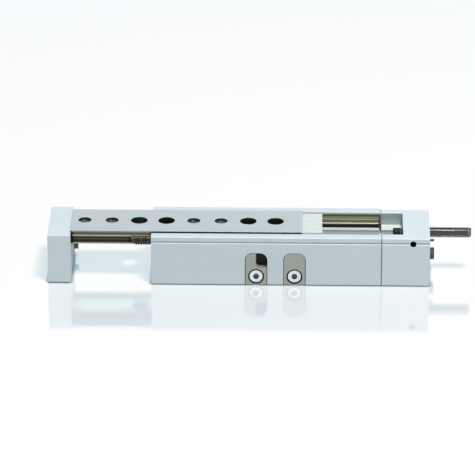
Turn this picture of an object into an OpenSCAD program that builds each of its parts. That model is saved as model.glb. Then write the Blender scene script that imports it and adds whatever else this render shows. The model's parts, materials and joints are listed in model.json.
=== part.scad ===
// Pneumatic slide table: a ground steel table on two ball-cage guides, pulled by a
// cylinder in the lower half of an aluminium housing. All sizes are in millimetres.
// X runs along the stroke, Z is up. The origin lies on the underside, at the middle
// of the housing's four mounting holes. The table is drawn at the extended end.

/* [Housing] */
// Length of the housing, without the head cover
housing_l = 126; // [122:0.5:132]
// Width of the housing
housing_w = 41.8; // [41:0.1:46]
// Height of the housing up to its rims
housing_h = 28.3; // [27.5:0.1:31]
// Chamfer along the long outer edges
edge_c = 0.3; // [0.2:0.05:0.6]
// Depth of the V-groove along each side, below the rim
side_groove_drop = 3.2; // [2.6:0.1:3.8]
// Depth of that V-groove into the side
side_groove_d = 0.6; // [0.3:0.05:0.8]

/* [Channel] */
// Width of the channel between its two walls
channel_w = 30.4; // [30:0.1:31.4]
// Chamfer on the inner edges of the rims
rim_c = 0.3; // [0.1:0.05:0.4]
// Depth of the middle bed below the rims
bed_drop = 7.05; // [6.9:0.05:7.5]
// Width of the middle bed
bed_w = 20.4; // [19.4:0.1:20.8]
// Depth of the relief along the middle of the bed, below the rims
relief_drop = 8.1; // [7.8:0.1:8.6]
// Width of that relief
relief_w = 14; // [13.4:0.1:16]
// Depth of the two side slots below the rims
slot_drop = 9.5; // [9.3:0.1:10]
// Wall left at the rear end of the side slots
slot_end_wall = 1; // [1:0.1:2.5]
// Ledge in each slot that a guide rail stands on
rail_seat = 0.9; // [0.7:0.05:1.1]

/* [Guide] */
// Thickness of a guide rail
rail_t = 1.9; // [1.8:0.05:2.1]
// Top of a guide rail below the rim
rail_drop = 0.3; // [0.2:0.05:0.5]
// Foot of a guide rail below the rim
rail_foot_drop = 7.1; // [6.8:0.05:7.4]
// Gap between a guide rail's upper land and the table's side
rail_gap = 0.3; // [0.25:0.05:0.4]
// Distance that a guide rail stays clear of the housing's front face
rail_inset = 0.6; // [0.4:0.1:2]
// Centre line of the raceways below the rim
race_drop = 5.1; // [4.9:0.05:5.2]
// Height of the relieved band that holds a raceway
race_band_h = 3.8; // [3.7:0.1:4]
// Depth of the relieved band, in the rail and in the table
race_relief = 0.35; // [0.3:0.05:0.45]
// Diameter of a guide ball
ball_d = 2.4; // [2.2:0.1:2.5]
// Radial play of a ball in its raceways and its cage
ball_play = 0.05; // [0.03:0.01:0.08]

/* [Ball cages] */
// Thickness of a ball cage
cage_t = 0.6; // [0.5:0.05:0.7]
// Height of the part of the cage that holds the balls
cage_h = 3.4; // [3:0.1:3.6]
// Distance from one ball to the next
ball_pitch = 4.2; // [3.4:0.1:5]
// Number of balls in a cage
ball_count = 19; // [12:1:20]
// Margin of the cage before the first and after the last ball
cage_margin = 3.4; // [2.4:0.1:4]
// Length of cage that stands out of the housing
cage_reach = 11.2; // [6:0.1:14]
// Tooth pitch of the comb along the cage's lower edge
comb_pitch = 1.4; // [1.2:0.1:1.8]
// Height of the comb's teeth
comb_tooth_h = 1; // [0.6:0.1:1.1]
// Thickness of the comb
comb_t = 0.3; // [0.25:0.05:0.35]
// Tips of the comb below the table's lower edge
comb_hang = 0.35; // [0.3:0.05:0.7]
// Length of cage in front of the first tooth
comb_start = 2.3; // [1:0.1:6]

/* [Table] */
// Length of the table
table_l = 127; // [124:0.1:130]
// Width of the table's top
table_w = 29.4; // [28.8:0.1:29.8]
// Height of the table from its lower edges to its top
table_h = 8.5; // [8.4:0.05:9.1]
// Height that the table's top stands above the rims
table_rise = 0.75; // [0.7:0.05:1.2]
// Thickness of the thin edge that covers the guide rails
flange_t = 0.9; // [0.6:0.05:0.95]
// Thickness of the table between its two skirts
plate_t = 6.75; // [6.2:0.05:7]
// Thickness of a skirt
skirt_t = 2.3; // [2.1:0.05:2.5]
// Length of the bevel at the rear end of the top
bevel_l = 1.8; // [1:0.1:3]
// Height of that bevel
bevel_h = 0.35; // [0.2:0.05:0.6]
// Length of table that stands out of the housing at the extended end
reach = 44.3; // [42:0.1:46]
// Distance from the table's front end to its first hole
first_hole = 7.2; // [7:0.1:9]
// Distance from one hole of the table to the next
hole_pitch = 15; // [14.5:0.1:15.2]
// Bore of a threaded hole, before its thread is cut
thread_bore_d = 5; // [4.2:0.1:5.2]
// Diameter of the centring recess at the mouth of a threaded hole
thread_mouth_d = 7.2; // [6.4:0.1:7.6]
// Depth of that recess
thread_mouth_t = 1.6; // [1:0.1:2.2]
// Depth of a threaded hole
thread_depth = 5.7; // [5:0.1:5.9]
// Diameter of a plain hole that goes right through the table
plain_hole_d = 9.2; // [8.6:0.1:9.3]

/* [End plate] */
// Thickness of the end plate
end_plate_t = 12.4; // [11:0.1:14]
// Width of the end plate
end_plate_w = 39.7; // [38:0.1:41]
// Gap between the end plate and the ground
end_plate_lift = 0.15; // [0.1:0.05:1]
// Diameter of the stop that meets the housing
stop_d = 3.3; // [2.6:0.1:4]
// Length of the stop outside the end plate
stop_l = 2.4; // [1.5:0.1:4]
// Distance of the stop to the rear of the middle
stop_y = 15.3; // [14:0.1:16]
// Height of the stop
stop_z = 6.6; // [5:0.1:9]
// Distance between the end plate's two screws
end_screw_pitch = 16; // [14:0.5:17]
// Drop of those screws below the top of the end plate
end_screw_drop = 3.8; // [3.7:0.05:4]

/* [Table end cap] */
// Length of the end cap
cap_l = 10.9; // [9:0.1:12]
// Gap between the end cap and each guide rail
cap_gap = 0.3; // [0.25:0.05:0.5]
// Gap between the end cap and the bed below it
cap_lift = 0.45; // [0.3:0.05:0.8]
// Distance between the end cap's two screws
cap_screw_pitch = 16; // [14:0.5:18]

/* [Head cover] */
// Length of the head cover
head_l = 26.3; // [26:0.1:30]
// Set-back of the head cover's rear side
head_setback = 2; // [1:0.1:2.4]
// Length of channel in the head cover
head_channel_l = 11.7; // [11.2:0.1:12.4]
// Width of channel in the head cover
head_channel_w = 29.4; // [29:0.1:30]
// Thickness of the gasket between housing and head cover
gasket_t = 0.2; // [0.1:0.05:0.4]
// Set-back of the gasket from the outer faces
gasket_setback = 0.4; // [0.2:0.05:0.8]
// Length of the spigot that centres the head cover in the bore
spigot_l = 1.2; // [1:0.1:1.4]
// Distance of the head cover's screws from the sides of the housing
head_screw_inset = 5.7; // [5.5:0.1:5.9]
// Height of the lower pair of those screws
head_screw_low = 5; // [4.2:0.1:6]
// Height of the upper pair of those screws
head_screw_high = 16.4; // [15:0.1:16.6]
// Length of thread of those screws in the housing
head_screw_grip = 9; // [6:0.5:12]

/* [Stroke adjuster] */
// Outer diameter of the adjuster's thread
adjuster_d = 6; // [5.6:0.1:6.1]
// Length of the adjuster bolt
adjuster_l = 39.2; // [36:0.1:44]
// Axis of the adjuster below the rim
adjuster_drop = 5; // [4.8:0.05:5.1]
// Diameter of the rubber tip
tip_d = 4.5; // [4:0.1:5]
// Length of the rubber tip
tip_l = 3.8; // [3:0.1:4.5]
// Stroke left free between the end cap and the rubber tip
set_stroke = 38.9; // [38:0.1:39.2]
// Radial play of the adjuster bolt in the head cover
adjuster_play = 0.05; // [0.02:0.01:0.08]
// Bore of the lock screw's hole
lock_hole_d = 3.4; // [3:0.1:3.6]
// Distance of the lock screw from the head cover's rear face
lock_inset = 9.2; // [8:0.1:11]
// Length of the lock screw
lock_screw_l = 6; // [4:0.5:8]

/* [Ports] */
// Bore of an air port, before its thread is cut
port_d = 4.2; // [3.6:0.1:4.4]
// Depth of thread in an air port
port_depth = 5; // [4:0.1:6]
// Distance of the rear port from the head cover's rear face
port_inset = 8; // [6:0.1:10]
// Width across the flats of the plug's hexagon head
plug_af = 6.3; // [5.5:0.1:7]
// Thickness of the plug's head
plug_head_l = 2.1; // [1.6:0.1:3]
// Diameter of the washer under the plug
plug_washer_d = 7.3; // [7:0.1:8]
// Thickness of that washer
plug_washer_t = 0.8; // [0.6:0.1:1]
// Diameter of the throttle needle's free end
needle_d = 1.4; // [1:0.1:1.8]
// Length of the throttle needle's free end
needle_out = 2.7; // [1.5:0.1:3]
// Height of the throttle needle below the rim
needle_drop = 9.9; // [9.5:0.1:10.4]

/* [Side plates] */
// Distance of the front side plate from the housing's front face
side_plate_x = 57.5; // [54:0.1:60]
// Distance between the two side plates
side_plate_pitch = 21; // [17:0.1:24]
// Width of a side plate's pocket
pocket_w = 12.1; // [11:0.1:13]
// Height of a side plate's pocket
pocket_h = 19; // [17:0.1:20]
// Radius of the pocket's upper corners
pocket_r = 4; // [3:0.1:5]
// Depth of a side plate's pocket
pocket_d = 5; // [4.8:0.1:5.4]
// Gap around a side plate
side_plate_gap = 0.15; // [0.1:0.05:0.3]
// Thickness of a side plate
side_plate_t = 4.1; // [4:0.05:4.2]
// Thickness of the gasket behind a side plate
side_gasket_t = 0.8; // [0.5:0.05:0.8]
// Lower edge of the window in the front side plate
window_z = 10.5; // [10.2:0.1:12]
// Radius of the window's lower corner
window_r = 2; // [1:0.1:3]
// Height of the side plates' screws
side_screw_z = 5.1; // [5:0.1:5.6]
// Diameter of those screws' heads
side_screw_head_d = 7.2; // [6.8:0.1:7.6]
// Thickness of those screws' heads
side_screw_head_t = 2.6; // [2.2:0.1:2.6]
// Diameter of the counterbore around a head
side_counterbore_d = 8.6; // [8.2:0.1:9]

/* [Cylinder] */
// Bore of the cylinder
bore_d = 12; // [11:0.1:12.4]
// Height of the bore's axis
bore_z = 10.5; // [10.2:0.1:10.8]
// Bore of the tunnel in front of the gland
tunnel_d = 13; // [12.8:0.1:13.4]
// Distance of the gland's shoulder from the housing's front face
gland_at = 73.2; // [72:0.1:73.6]
// Length of the gland
gland_l = 8; // [7:0.1:8.4]
// Thickness of the retaining ring
ring_t = 1; // [0.8:0.1:1.2]
// Longest stroke of the piston
stroke = 40; // [39.2:0.1:40.4]
// Length of the piston
piston_l = 9; // [8.4:0.1:9.2]
// Thickness of the rubber ring on each face of the piston
piston_ring_t = 1; // [0.8:0.1:1.2]
// Free travel of the piston beyond each end of the stroke
piston_spare = 0.2; // [0.1:0.05:0.3]
// Diameter of the piston rod
rod_d = 5; // [4.6:0.1:5.4]
// Diameter of the rod's two threaded ends
rod_end_d = 4; // [3.6:0.1:4.2]
// Radial running play of rod and piston
run_play = 0.03; // [0.02:0.01:0.06]

/* [Driver] */
// Distance from the table's front end to the driver block
driver_at = 58.5; // [58.3:0.1:59]
// Length of the driver block
driver_l = 9; // [8.5:0.1:9.2]
// Width of the driver block's neck
driver_neck_w = 4.4; // [4:0.1:4.6]
// Gap on each side of the neck in its slot
driver_gap = 0.3; // [0.25:0.05:0.4]
// Width of the driver block's top
driver_top_w = 13; // [12.6:0.1:13]
// Thickness of the driver block's top
driver_top_t = 1.6; // [1.4:0.05:1.7]
// Diameter of the driver block's foot around the rod
driver_foot_d = 11; // [10:0.1:11.4]

/* [Mounting] */
// Distance between the mounting holes along the housing
mount_x = 85; // [78:0.5:88]
// Distance between the mounting holes across the housing
mount_y = 30; // [28:0.5:31]
// Bore of a mounting hole, before its thread is cut
mount_bore_d = 4.2; // [3.3:0.1:5]
// Depth of a mounting hole
mount_depth = 9; // [6:0.5:10]

/* [Hidden] */
$fn = 64;
over = 1; // how far a cut runs past a face
fit = 0.01; // play between two pieces that only touch

// Which of the table's holes go right through: false is threaded, true is plain
hole_is_plain = [false, false, true, true, false, false, true, true];

// Socket-head screws of the three sizes used
small_d = 2.5;
small_head_d = 4.5;
small_head_t = 2.5;
small_socket = 2;
small_grip = 4;
flat_head_d = 4;
m3_d = 3;
m3_head_d = 5.5;
m3_head_t = 3;
m3_socket = 2.5;
m4_d = 4;
m4_socket = 3;
end_screw_grip = 8; // length of the end plate's screws in the table
side_screw_grip = 4; // length of the side plates' screws in the housing
side_screw_sink = 0.2; // how far those heads lie below the side plates' faces
socket_depth = 1.6;
screw_sink = 0.3; // how far the other heads lie below the faces around them
screw_play = 0.2; // clearance around a screw in a plain hole
head_play = 0.3; // clearance around a head in its counterbore

// Heights
rim_z = housing_h;
bed_z = rim_z - bed_drop;
relief_z = rim_z - relief_drop;
slot_z = rim_z - slot_drop;
race_z = rim_z - race_drop;
rail_top_z = rim_z - rail_drop;
rail_foot_z = rim_z - rail_foot_drop;
table_top_z = rim_z + table_rise;
flange_z = table_top_z - flange_t;
plate_z = table_top_z - plate_t;
skirt_z = table_top_z - table_h;
band_low_z = race_z - race_band_h / 2;
band_high_z = race_z + race_band_h / 2;
comb_z = skirt_z - comb_hang;
adjuster_z = rim_z - adjuster_drop;
lock_z = rim_z - side_groove_drop;
needle_z = rim_z - needle_drop;

// Small sizes of the gland, the piston and the adjuster
table_c = 0.15; // chamfer along the table's top edges
cap_plug_l = 3;
gland_seal_w = 2;
ring_lip = 0.7;
seal_w = 1.6;
seal_depth = 1.5;
seal_play = 0.02;
seal_inset = 1.6;
ring_gap = 3;
ring_w = 1.5;
piston_seal_inset = 1.2;
piston_bumper_setback = 1.2;
nut_t = 2.4;
nut_af = 7;
nut_recess_d = 8.4;
rod_end_out = 0.6;
lock_pad_l = 1.2;
lock_socket = 1.5;
adjuster_c = 0.5;
tip_c = 0.5;
tip_stud_d = 2.4;
tip_stud_l = 1.5;
stop_seat = 3;
comb_tip_share = 0.35; // share of the pitch that a tooth's tip takes
comb_root_share = 0.8; // share of the pitch that its root takes

// Distances from the middle plane
channel_y = channel_w / 2;
rail_y = channel_y - rail_t;
core_y = rail_y - rail_gap;
race_y = (rail_y + core_y) / 2;
slot_out_y = channel_y - rail_seat;
ball_r = ball_d / 2;
race_r = ball_r + ball_play;
cage_in_y = race_y - cage_t / 2;
cage_out_y = race_y + cage_t / 2;
side_y = -housing_w / 2;
head_screw_y = housing_w / 2 - head_screw_inset;
rear_port_y = housing_w / 2 - head_setback - port_depth;

// Stations along X
front_x = -housing_l / 2;
rear_x = housing_l / 2;
slot_end_x = rear_x - slot_end_wall;
head_x = rear_x + gasket_t;
head_end_x = head_x + head_l;
head_wall_x = head_x + head_channel_l;
table_x = front_x - reach;
table_end_x = table_x + table_l;
cap_end_x = table_end_x + cap_l;
tip_x = cap_end_x + set_stroke;
adjuster_x = tip_x + tip_l;
lock_x = head_end_x - lock_inset;
rear_port_x = head_end_x - port_inset;
gland_x = front_x + gland_at;
piston_x = gland_x + piston_spare + piston_ring_t;
piston_end_x = piston_x + piston_l;
driver_x = table_x + driver_at;
driver_end_x = driver_x + driver_l;
cage_x = front_x - cage_reach;
cage_l = (ball_count - 1) * ball_pitch + 2 * cage_margin;
comb_count = floor((cage_l - comb_start) / comb_pitch);
side_plate_xs = [front_x + side_plate_x, front_x + side_plate_x + side_plate_pitch];
side_plate_y = side_y + pocket_d - side_gasket_t - side_plate_t;
rod_seal_x = gland_x - gland_l + seal_inset;
o_ring_x = gland_x - seal_inset - gland_seal_w / 2;
piston_seal_xs = [piston_x + piston_seal_inset, piston_x + piston_seal_inset + 2 * seal_w];
lock_pad_y = -adjuster_d / 2 - 2 * adjuster_play - lock_pad_l;
cap_screw_z = plate_z + (rim_z - plate_z) / 2 - screw_play;

// ---------- helpers ----------

// Extrudes a Y-Z section along X, from x, over length l
module along_x(x, l) {
  translate([x, 0, 0]) rotate([90, 0, 90]) linear_extrude(l) children();
}

// Round bar along X
module rod_x(x, l, d, y = 0, z = 0) {
  translate([x, y, z]) rotate([0, 90, 0]) cylinder(d = d, h = l);
}

// Round bar along Y
module rod_y(y, l, d, x = 0, z = 0) {
  translate([x, y, z]) rotate([-90, 0, 0]) cylinder(d = d, h = l);
}

// Round ring along X
module ring_x(x, l, d_out, d_in, y = 0, z = 0) {
  difference() {
    rod_x(x, l, d_out, y, z);
    rod_x(x - over, l + 2 * over, d_in, y, z);
  }
}

// Hexagonal bar along X, measured across its flats
module hex_x(x, l, across, y = 0, z = 0) {
  translate([x, y, z]) rotate([0, 90, 0]) cylinder(d = across / cos(30), h = l, $fn = 6);
}

// Y-Z rectangle between two corners
module span(y0, y1, z0, z1) {
  translate([y0, z0]) square([y1 - y0, z1 - z0]);
}

// Y-Z rectangle with a chamfer on each corner
module chamfered_span(y0, y1, z0, z1, c) {
  polygon([
    [y0 + c, z0], [y1 - c, z0], [y1, z0 + c], [y1, z1 - c],
    [y1 - c, z1], [y0 + c, z1], [y0, z1 - c], [y0, z0 + c]
  ]);
}

// Places its children on one side of the middle plane: 1 is the rear, -1 the front
module on_side(side) {
  if (side > 0) children();
  else mirror([0, 1, 0]) children();
}

// V-groove along one side of the housing or the head cover
module side_groove(y, x, l) {
  along_x(x, l) translate([y, rim_z - side_groove_drop]) rotate(45)
    square(side_groove_d * sqrt(2), center = true);
}

// Cap screw standing on Z: its top lies at the origin and its shank points down
module cap_screw(head_d, head_t, shank_d, shank_l, socket) {
  difference() {
    union() {
      translate([0, 0, -head_t]) cylinder(d = head_d, h = head_t);
      translate([0, 0, -head_t - shank_l]) cylinder(d = shank_d - 2 * fit, h = shank_l + fit);
    }
    translate([0, 0, -socket_depth]) cylinder(d = socket / cos(30), h = socket_depth + over, $fn = 6);
  }
}

// Counterbore and plain hole for such a screw
module cap_screw_hole(head_d, head_t, shank_d, shank_l) {
  translate([0, 0, -head_t - fit]) cylinder(d = head_d + 2 * head_play, h = head_t + fit + over);
  translate([0, 0, -head_t - shank_l]) cylinder(d = shank_d + 2 * screw_play, h = shank_l);
}

// Turns a screw that stands on Z to face along +X, -X, -Y
module face_rear() rotate([0, 90, 0]) children();
module face_front() rotate([0, -90, 0]) children();
module face_side() rotate([90, 0, 0]) children();

// Places children at the four screws of the head cover
module head_screw_places() {
  for (y = [-head_screw_y, head_screw_y], z = [head_screw_low, head_screw_high])
    translate([head_end_x - screw_sink, y, z]) face_rear() children();
}

// ---------- housing ----------

// Channel section: the bed, its relief and, for the guide, the side slots and rail seats
module channel_section() {
  span(-rail_y, rail_y, bed_z, rim_z + over);
  span(-relief_w / 2, relief_w / 2, relief_z, bed_z + over);
}

module guide_section() {
  channel_section();
  span(-channel_y, channel_y, rail_foot_z, rim_z + over);
  for (side = [-1, 1]) mirror([side < 0 ? 1 : 0, 0])
    span(bed_w / 2, slot_out_y, slot_z, rim_z);
}

// The two chamfers on the inner edges of a channel of half width y
module rim_chamfers(y, x, l) {
  for (side = [-1, 1]) on_side(side) along_x(x, l)
    polygon([[y - over, rim_z + over], [y + rim_c + over, rim_z + over], [y - over, rim_z - rim_c - over]]);
}

// Outline of a side plate or its pocket, seen from the side, reaching below the ground by foot
module arch(w, h, r, foot) {
  translate([-w / 2, -foot]) square([w, h - r + foot]);
  translate([r - w / 2, 0]) square([w - 2 * r, h]);
  for (side = [-1, 1]) translate([side * (w / 2 - r), h - r]) circle(r);
}

// Stands an X-Z outline up between two distances from the middle plane
module upright(y0, y1) {
  translate([0, y1, 0]) rotate([90, 0, 0]) linear_extrude(y1 - y0) children();
}

module pocket(x) {
  translate([x, 0, 0]) upright(side_y - over, side_y + pocket_d) arch(pocket_w, pocket_h, pocket_r, over);
}

module mounting_holes() {
  for (x = [-mount_x / 2, mount_x / 2], y = [-mount_y / 2, mount_y / 2])
    translate([x, y, -over]) cylinder(d = mount_bore_d, h = mount_depth + over);
}

module housing() {
  color([0.82, 0.86, 0.88]) difference() {
    along_x(front_x, housing_l)
      chamfered_span(-housing_w / 2, housing_w / 2, 0, housing_h, edge_c);
    for (y = [-housing_w / 2, housing_w / 2]) side_groove(y, front_x - over, housing_l + 2 * over);
    along_x(front_x - over, slot_end_x - front_x + over) guide_section();
    along_x(slot_end_x - fit, slot_end_wall + over) channel_section();
    rim_chamfers(channel_y, front_x - over, slot_end_x - front_x + over);
    // cylinder bore, gland tunnel and its ring groove
    rod_x(gland_x - fit, rear_x - gland_x + over, bore_d, 0, bore_z);
    rod_x(front_x - over, gland_at + over, tunnel_d, 0, bore_z);
    rod_x(gland_x - gland_l - ring_t, ring_t, tunnel_d + 2 * ring_lip, 0, bore_z);
    // slot for the driver's neck
    translate([driver_x - driver_gap, -driver_neck_w / 2 - driver_gap, bore_z])
      cube([driver_l + stroke + 2 * driver_gap, driver_neck_w + 2 * driver_gap, relief_z - bore_z + over]);
    for (x = side_plate_xs) {
      pocket(x);
      rod_y(side_y + pocket_d - fit, side_screw_grip + 1, m4_d, x, side_screw_z);
    }
    // front air port and its passage into the bore
    rod_y(housing_w / 2 - port_depth, port_depth + over, port_d, gland_x + port_d / 2, bore_z);
    rod_y(0, housing_w / 2, port_d / 2, gland_x + port_d / 4 + fit, bore_z);
    for (y = [-head_screw_y, head_screw_y], z = [head_screw_low, head_screw_high])
      rod_x(rear_x - head_screw_grip - 1, head_screw_grip + 1 + over, m3_d, y, z);
    mounting_holes();
  }
}

// ---------- guide rails ----------

module guide_rail(side) {
  on_side(side) color([0.62, 0.60, 0.46])
    along_x(front_x + rail_inset, slot_end_x - fit - front_x - rail_inset) difference() {
      span(rail_y, channel_y - fit, rail_foot_z, rail_top_z);
      span(rail_y - over, rail_y + race_relief, rail_foot_z - over, band_high_z);
      translate([race_y, race_z]) circle(race_r);
    }
}

module guide_rail_front() guide_rail(-1);
module guide_rail_rear() guide_rail(1);

// ---------- head cover ----------

module head_cover() {
  color([0.84, 0.88, 0.90]) difference() {
    union() {
      along_x(head_x, head_l)
        chamfered_span(-housing_w / 2, housing_w / 2 - head_setback, 0, housing_h, edge_c);
      rod_x(rear_x - spigot_l, spigot_l + gasket_t + fit, bore_d - 2 * fit, 0, bore_z);
    }
    side_groove(-housing_w / 2, head_x - over, head_l + 2 * over);
    along_x(head_x - over, head_channel_l + over) {
      span(-head_channel_w / 2, head_channel_w / 2, bed_z, rim_z + over);
      span(-relief_w / 2, relief_w / 2, relief_z, bed_z + over);
    }
    rim_chamfers(head_channel_w / 2, head_x - over, head_channel_l + over);
    rod_x(head_wall_x - fit, head_l, adjuster_d + 2 * adjuster_play, 0, adjuster_z);
    // lock screw hole from the side, into the adjuster's bore
    rod_y(side_y - over, over - side_y, lock_hole_d, lock_x, lock_z);
    // air passage from the bore to the plugged port and to the rear port
    rod_x(rear_x - spigot_l - over, head_end_x - rear_x + spigot_l + 2 * over, port_d, 0, bore_z);
    rod_y(rear_port_y, port_depth + over, port_d, rear_port_x, bore_z);
    rod_y(0, housing_w / 2 - head_setback - fit, port_d / 2, rear_port_x, bore_z);
    rod_x(head_end_x - 2 * port_depth, 2 * port_depth + over, needle_d + 2 * fit, 0, needle_z);
    head_screw_places() cap_screw_hole(m3_head_d, m3_head_t, m3_d, head_l);
  }
}

module head_gasket() {
  c = gasket_setback;
  color([0.12, 0.12, 0.12]) difference() {
    along_x(rear_x, gasket_t)
      span(c - housing_w / 2, housing_w / 2 - head_setback - c, c, relief_z - c);
    rod_x(rear_x - over, gasket_t + 2 * over, bore_d + fit, 0, bore_z);
    for (y = [-head_screw_y, head_screw_y], z = [head_screw_low, head_screw_high])
      rod_x(rear_x - over, gasket_t + 2 * over, m3_d + 2 * screw_play, y, z);
  }
}

module head_cover_screws() {
  shank_l = head_l - screw_sink - m3_head_t + gasket_t + head_screw_grip;
  color([0.55, 0.56, 0.57]) head_screw_places()
    cap_screw(m3_head_d, m3_head_t, m3_d, shank_l, m3_socket);
}

// ---------- gland ----------

module tunnel_cap() {
  color([0.15, 0.15, 0.16]) rod_x(front_x, cap_plug_l, tunnel_d - 2 * fit, 0, bore_z);
}

module rod_gland() {
  color([0.72, 0.66, 0.42]) difference() {
    rod_x(gland_x - gland_l, gland_l - fit, tunnel_d - 2 * fit, 0, bore_z);
    rod_x(gland_x - gland_l - over, gland_l + 2 * over, rod_d + 2 * run_play, 0, bore_z);
    rod_x(rod_seal_x, gland_seal_w, rod_d + 2 * seal_depth, 0, bore_z);
    ring_x(o_ring_x - gland_seal_w / 2, gland_seal_w, tunnel_d + over, tunnel_d - 2 * seal_depth, 0, bore_z);
  }
}

module rod_seal() {
  color([0.1, 0.1, 0.1])
    ring_x(rod_seal_x + fit, gland_seal_w - 2 * fit, rod_d + 2 * (seal_depth - fit),
      rod_d + 2 * seal_play, 0, bore_z);
}

module gland_o_ring() {
  cord_d = seal_depth - 2 * seal_play;
  color([0.1, 0.1, 0.1]) translate([o_ring_x, 0, bore_z]) rotate([0, 90, 0])
    rotate_extrude() translate([(tunnel_d - seal_depth) / 2, 0]) circle(d = cord_d);
}

module gland_retaining_ring() {
  x = gland_x - gland_l - ring_t;
  color([0.5, 0.5, 0.5]) difference() {
    ring_x(x + fit, ring_t - 2 * fit, tunnel_d + 2 * (ring_lip - fit), tunnel_d - 2 * ring_w, 0, bore_z);
    translate([x - over, -ring_gap / 2, bore_z - tunnel_d])
      cube([ring_t + 2 * over, ring_gap, tunnel_d]);
  }
}

// ---------- side plates ----------

module side_plate_outline(x) {
  translate([x, 0])
    arch(pocket_w - 2 * side_plate_gap, pocket_h - side_plate_gap, pocket_r - side_plate_gap,
      -side_plate_gap);
}

// Window in the front side plate: its rear upper quarter, with one round corner
module side_window(x) {
  translate([x + window_r, window_z]) square([pocket_w, pocket_h]);
  translate([x, window_z + window_r]) square([pocket_w, pocket_h]);
  translate([x + window_r, window_z + window_r]) circle(window_r);
}

module side_screw_place(x) {
  translate([x, side_plate_y + side_screw_sink, side_screw_z]) face_side() children();
}

module side_plate(x) {
  difference() {
    upright(side_plate_y, side_plate_y + side_plate_t - fit) side_plate_outline(x);
    side_screw_place(x) {
      translate([0, 0, -side_screw_head_t - fit])
        cylinder(d = side_counterbore_d, h = side_screw_head_t + over);
      translate([0, 0, -side_plate_t - over]) cylinder(d = m4_d + 2 * screw_play, h = side_plate_t);
    }
  }
}

module side_plate_left() {
  color([0.60, 0.62, 0.58]) difference() {
    side_plate(side_plate_xs[0]);
    upright(side_plate_y - over, side_plate_y + side_plate_t + over) side_window(side_plate_xs[0]);
  }
}

module side_plate_right() {
  color([0.60, 0.62, 0.58]) side_plate(side_plate_xs[1]);
}

module side_plate_gaskets() {
  y = side_y + pocket_d - side_gasket_t;
  color([0.1, 0.1, 0.1]) for (x = side_plate_xs) difference() {
    upright(y, y + side_gasket_t - fit) side_plate_outline(x);
    rod_y(y - over, side_gasket_t + 2 * over, m4_d + 2 * screw_play, x, side_screw_z);
  }
}

module side_plate_screws() {
  shank_l = side_plate_t + side_gasket_t - side_screw_sink - side_screw_head_t + side_screw_grip;
  color([0.75, 0.83, 0.85]) for (x = side_plate_xs) side_screw_place(x)
    cap_screw(side_screw_head_d, side_screw_head_t, m4_d, shank_l, m4_socket);
}

// ---------- plug and needle ----------

module port_plug() {
  color([0.65, 0.66, 0.64]) {
    hex_x(head_end_x + plug_washer_t, plug_head_l, plug_af, 0, bore_z);
    rod_x(head_end_x - port_depth, port_depth + plug_washer_t + fit, port_d - 2 * fit, 0, bore_z);
  }
}

module port_plug_washer() {
  color([0.08, 0.08, 0.08])
    ring_x(head_end_x, plug_washer_t - fit, plug_washer_d, port_d, 0, bore_z);
}

module throttle_needle() {
  color([0.5, 0.5, 0.5])
    rod_x(head_end_x - port_depth, port_depth + needle_out, needle_d, 0, needle_z);
}

// ---------- stroke adjuster ----------

module adjuster_lock_screw() {
  y = lock_pad_y - lock_screw_l;
  color([0.2, 0.2, 0.2]) difference() {
    rod_y(y, lock_screw_l - fit, lock_hole_d - 2 * fit, lock_x, lock_z);
    translate([lock_x, y - fit, lock_z]) rotate([-90, 0, 0])
      cylinder(d = lock_socket / cos(30), h = socket_depth, $fn = 6);
  }
}

module adjuster_lock_pad() {
  color([0.75, 0.62, 0.3]) rod_y(lock_pad_y, lock_pad_l, lock_hole_d - 2 * fit, lock_x, lock_z);
}

module adjuster_bolt() {
  c = adjuster_c;
  color([0.45, 0.46, 0.44]) difference() {
    union() {
      rod_x(adjuster_x + c, adjuster_l - 2 * c, adjuster_d, 0, adjuster_z);
      translate([adjuster_x, 0, adjuster_z]) rotate([0, 90, 0])
        cylinder(d1 = adjuster_d - 2 * c, d2 = adjuster_d, h = c);
      translate([adjuster_x + adjuster_l - c, 0, adjuster_z]) rotate([0, 90, 0])
        cylinder(d1 = adjuster_d, d2 = adjuster_d - 2 * c, h = c);
    }
    rod_x(adjuster_x - over, tip_stud_l + over, tip_stud_d + 2 * run_play, 0, adjuster_z);
    hex_x(adjuster_x + adjuster_l - m4_socket, m4_socket + over, m4_socket, 0, adjuster_z);
  }
}

module adjuster_tip() {
  c = tip_c;
  color([0.08, 0.08, 0.1]) {
    rod_x(tip_x + c, tip_l - c - fit, tip_d, 0, adjuster_z);
    translate([tip_x, 0, adjuster_z]) rotate([0, 90, 0])
      cylinder(d1 = tip_d - 2 * c, d2 = tip_d, h = c + fit);
    rod_x(adjuster_x - 2 * fit, tip_stud_l, tip_stud_d, 0, adjuster_z);
  }
}

// ---------- table ----------

module table_section() {
  flange_y = table_w / 2;
  difference() {
    union() {
      polygon([
        [-flange_y, flange_z], [flange_y, flange_z], [flange_y, table_top_z - table_c],
        [flange_y - table_c, table_top_z], [table_c - flange_y, table_top_z],
        [-flange_y, table_top_z - table_c]
      ]);
      span(-core_y, core_y, skirt_z, flange_z + fit);
    }
    span(skirt_t - core_y, core_y - skirt_t, skirt_z - over, plate_z);
    for (side = [-1, 1]) mirror([side < 0 ? 1 : 0, 0]) {
      span(core_y - race_relief, core_y + over, band_low_z, band_high_z);
      translate([race_y, race_z]) circle(race_r);
    }
  }
}

module table_hole(is_plain) {
  if (is_plain) {
    translate([0, 0, plate_z - over]) cylinder(d = plain_hole_d, h = plate_t + 2 * over);
  } else {
    translate([0, 0, table_top_z - thread_depth]) cylinder(d = thread_bore_d, h = thread_depth + over);
    translate([0, 0, table_top_z - thread_mouth_t]) cylinder(d = thread_mouth_d, h = thread_mouth_t + over);
  }
}

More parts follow.
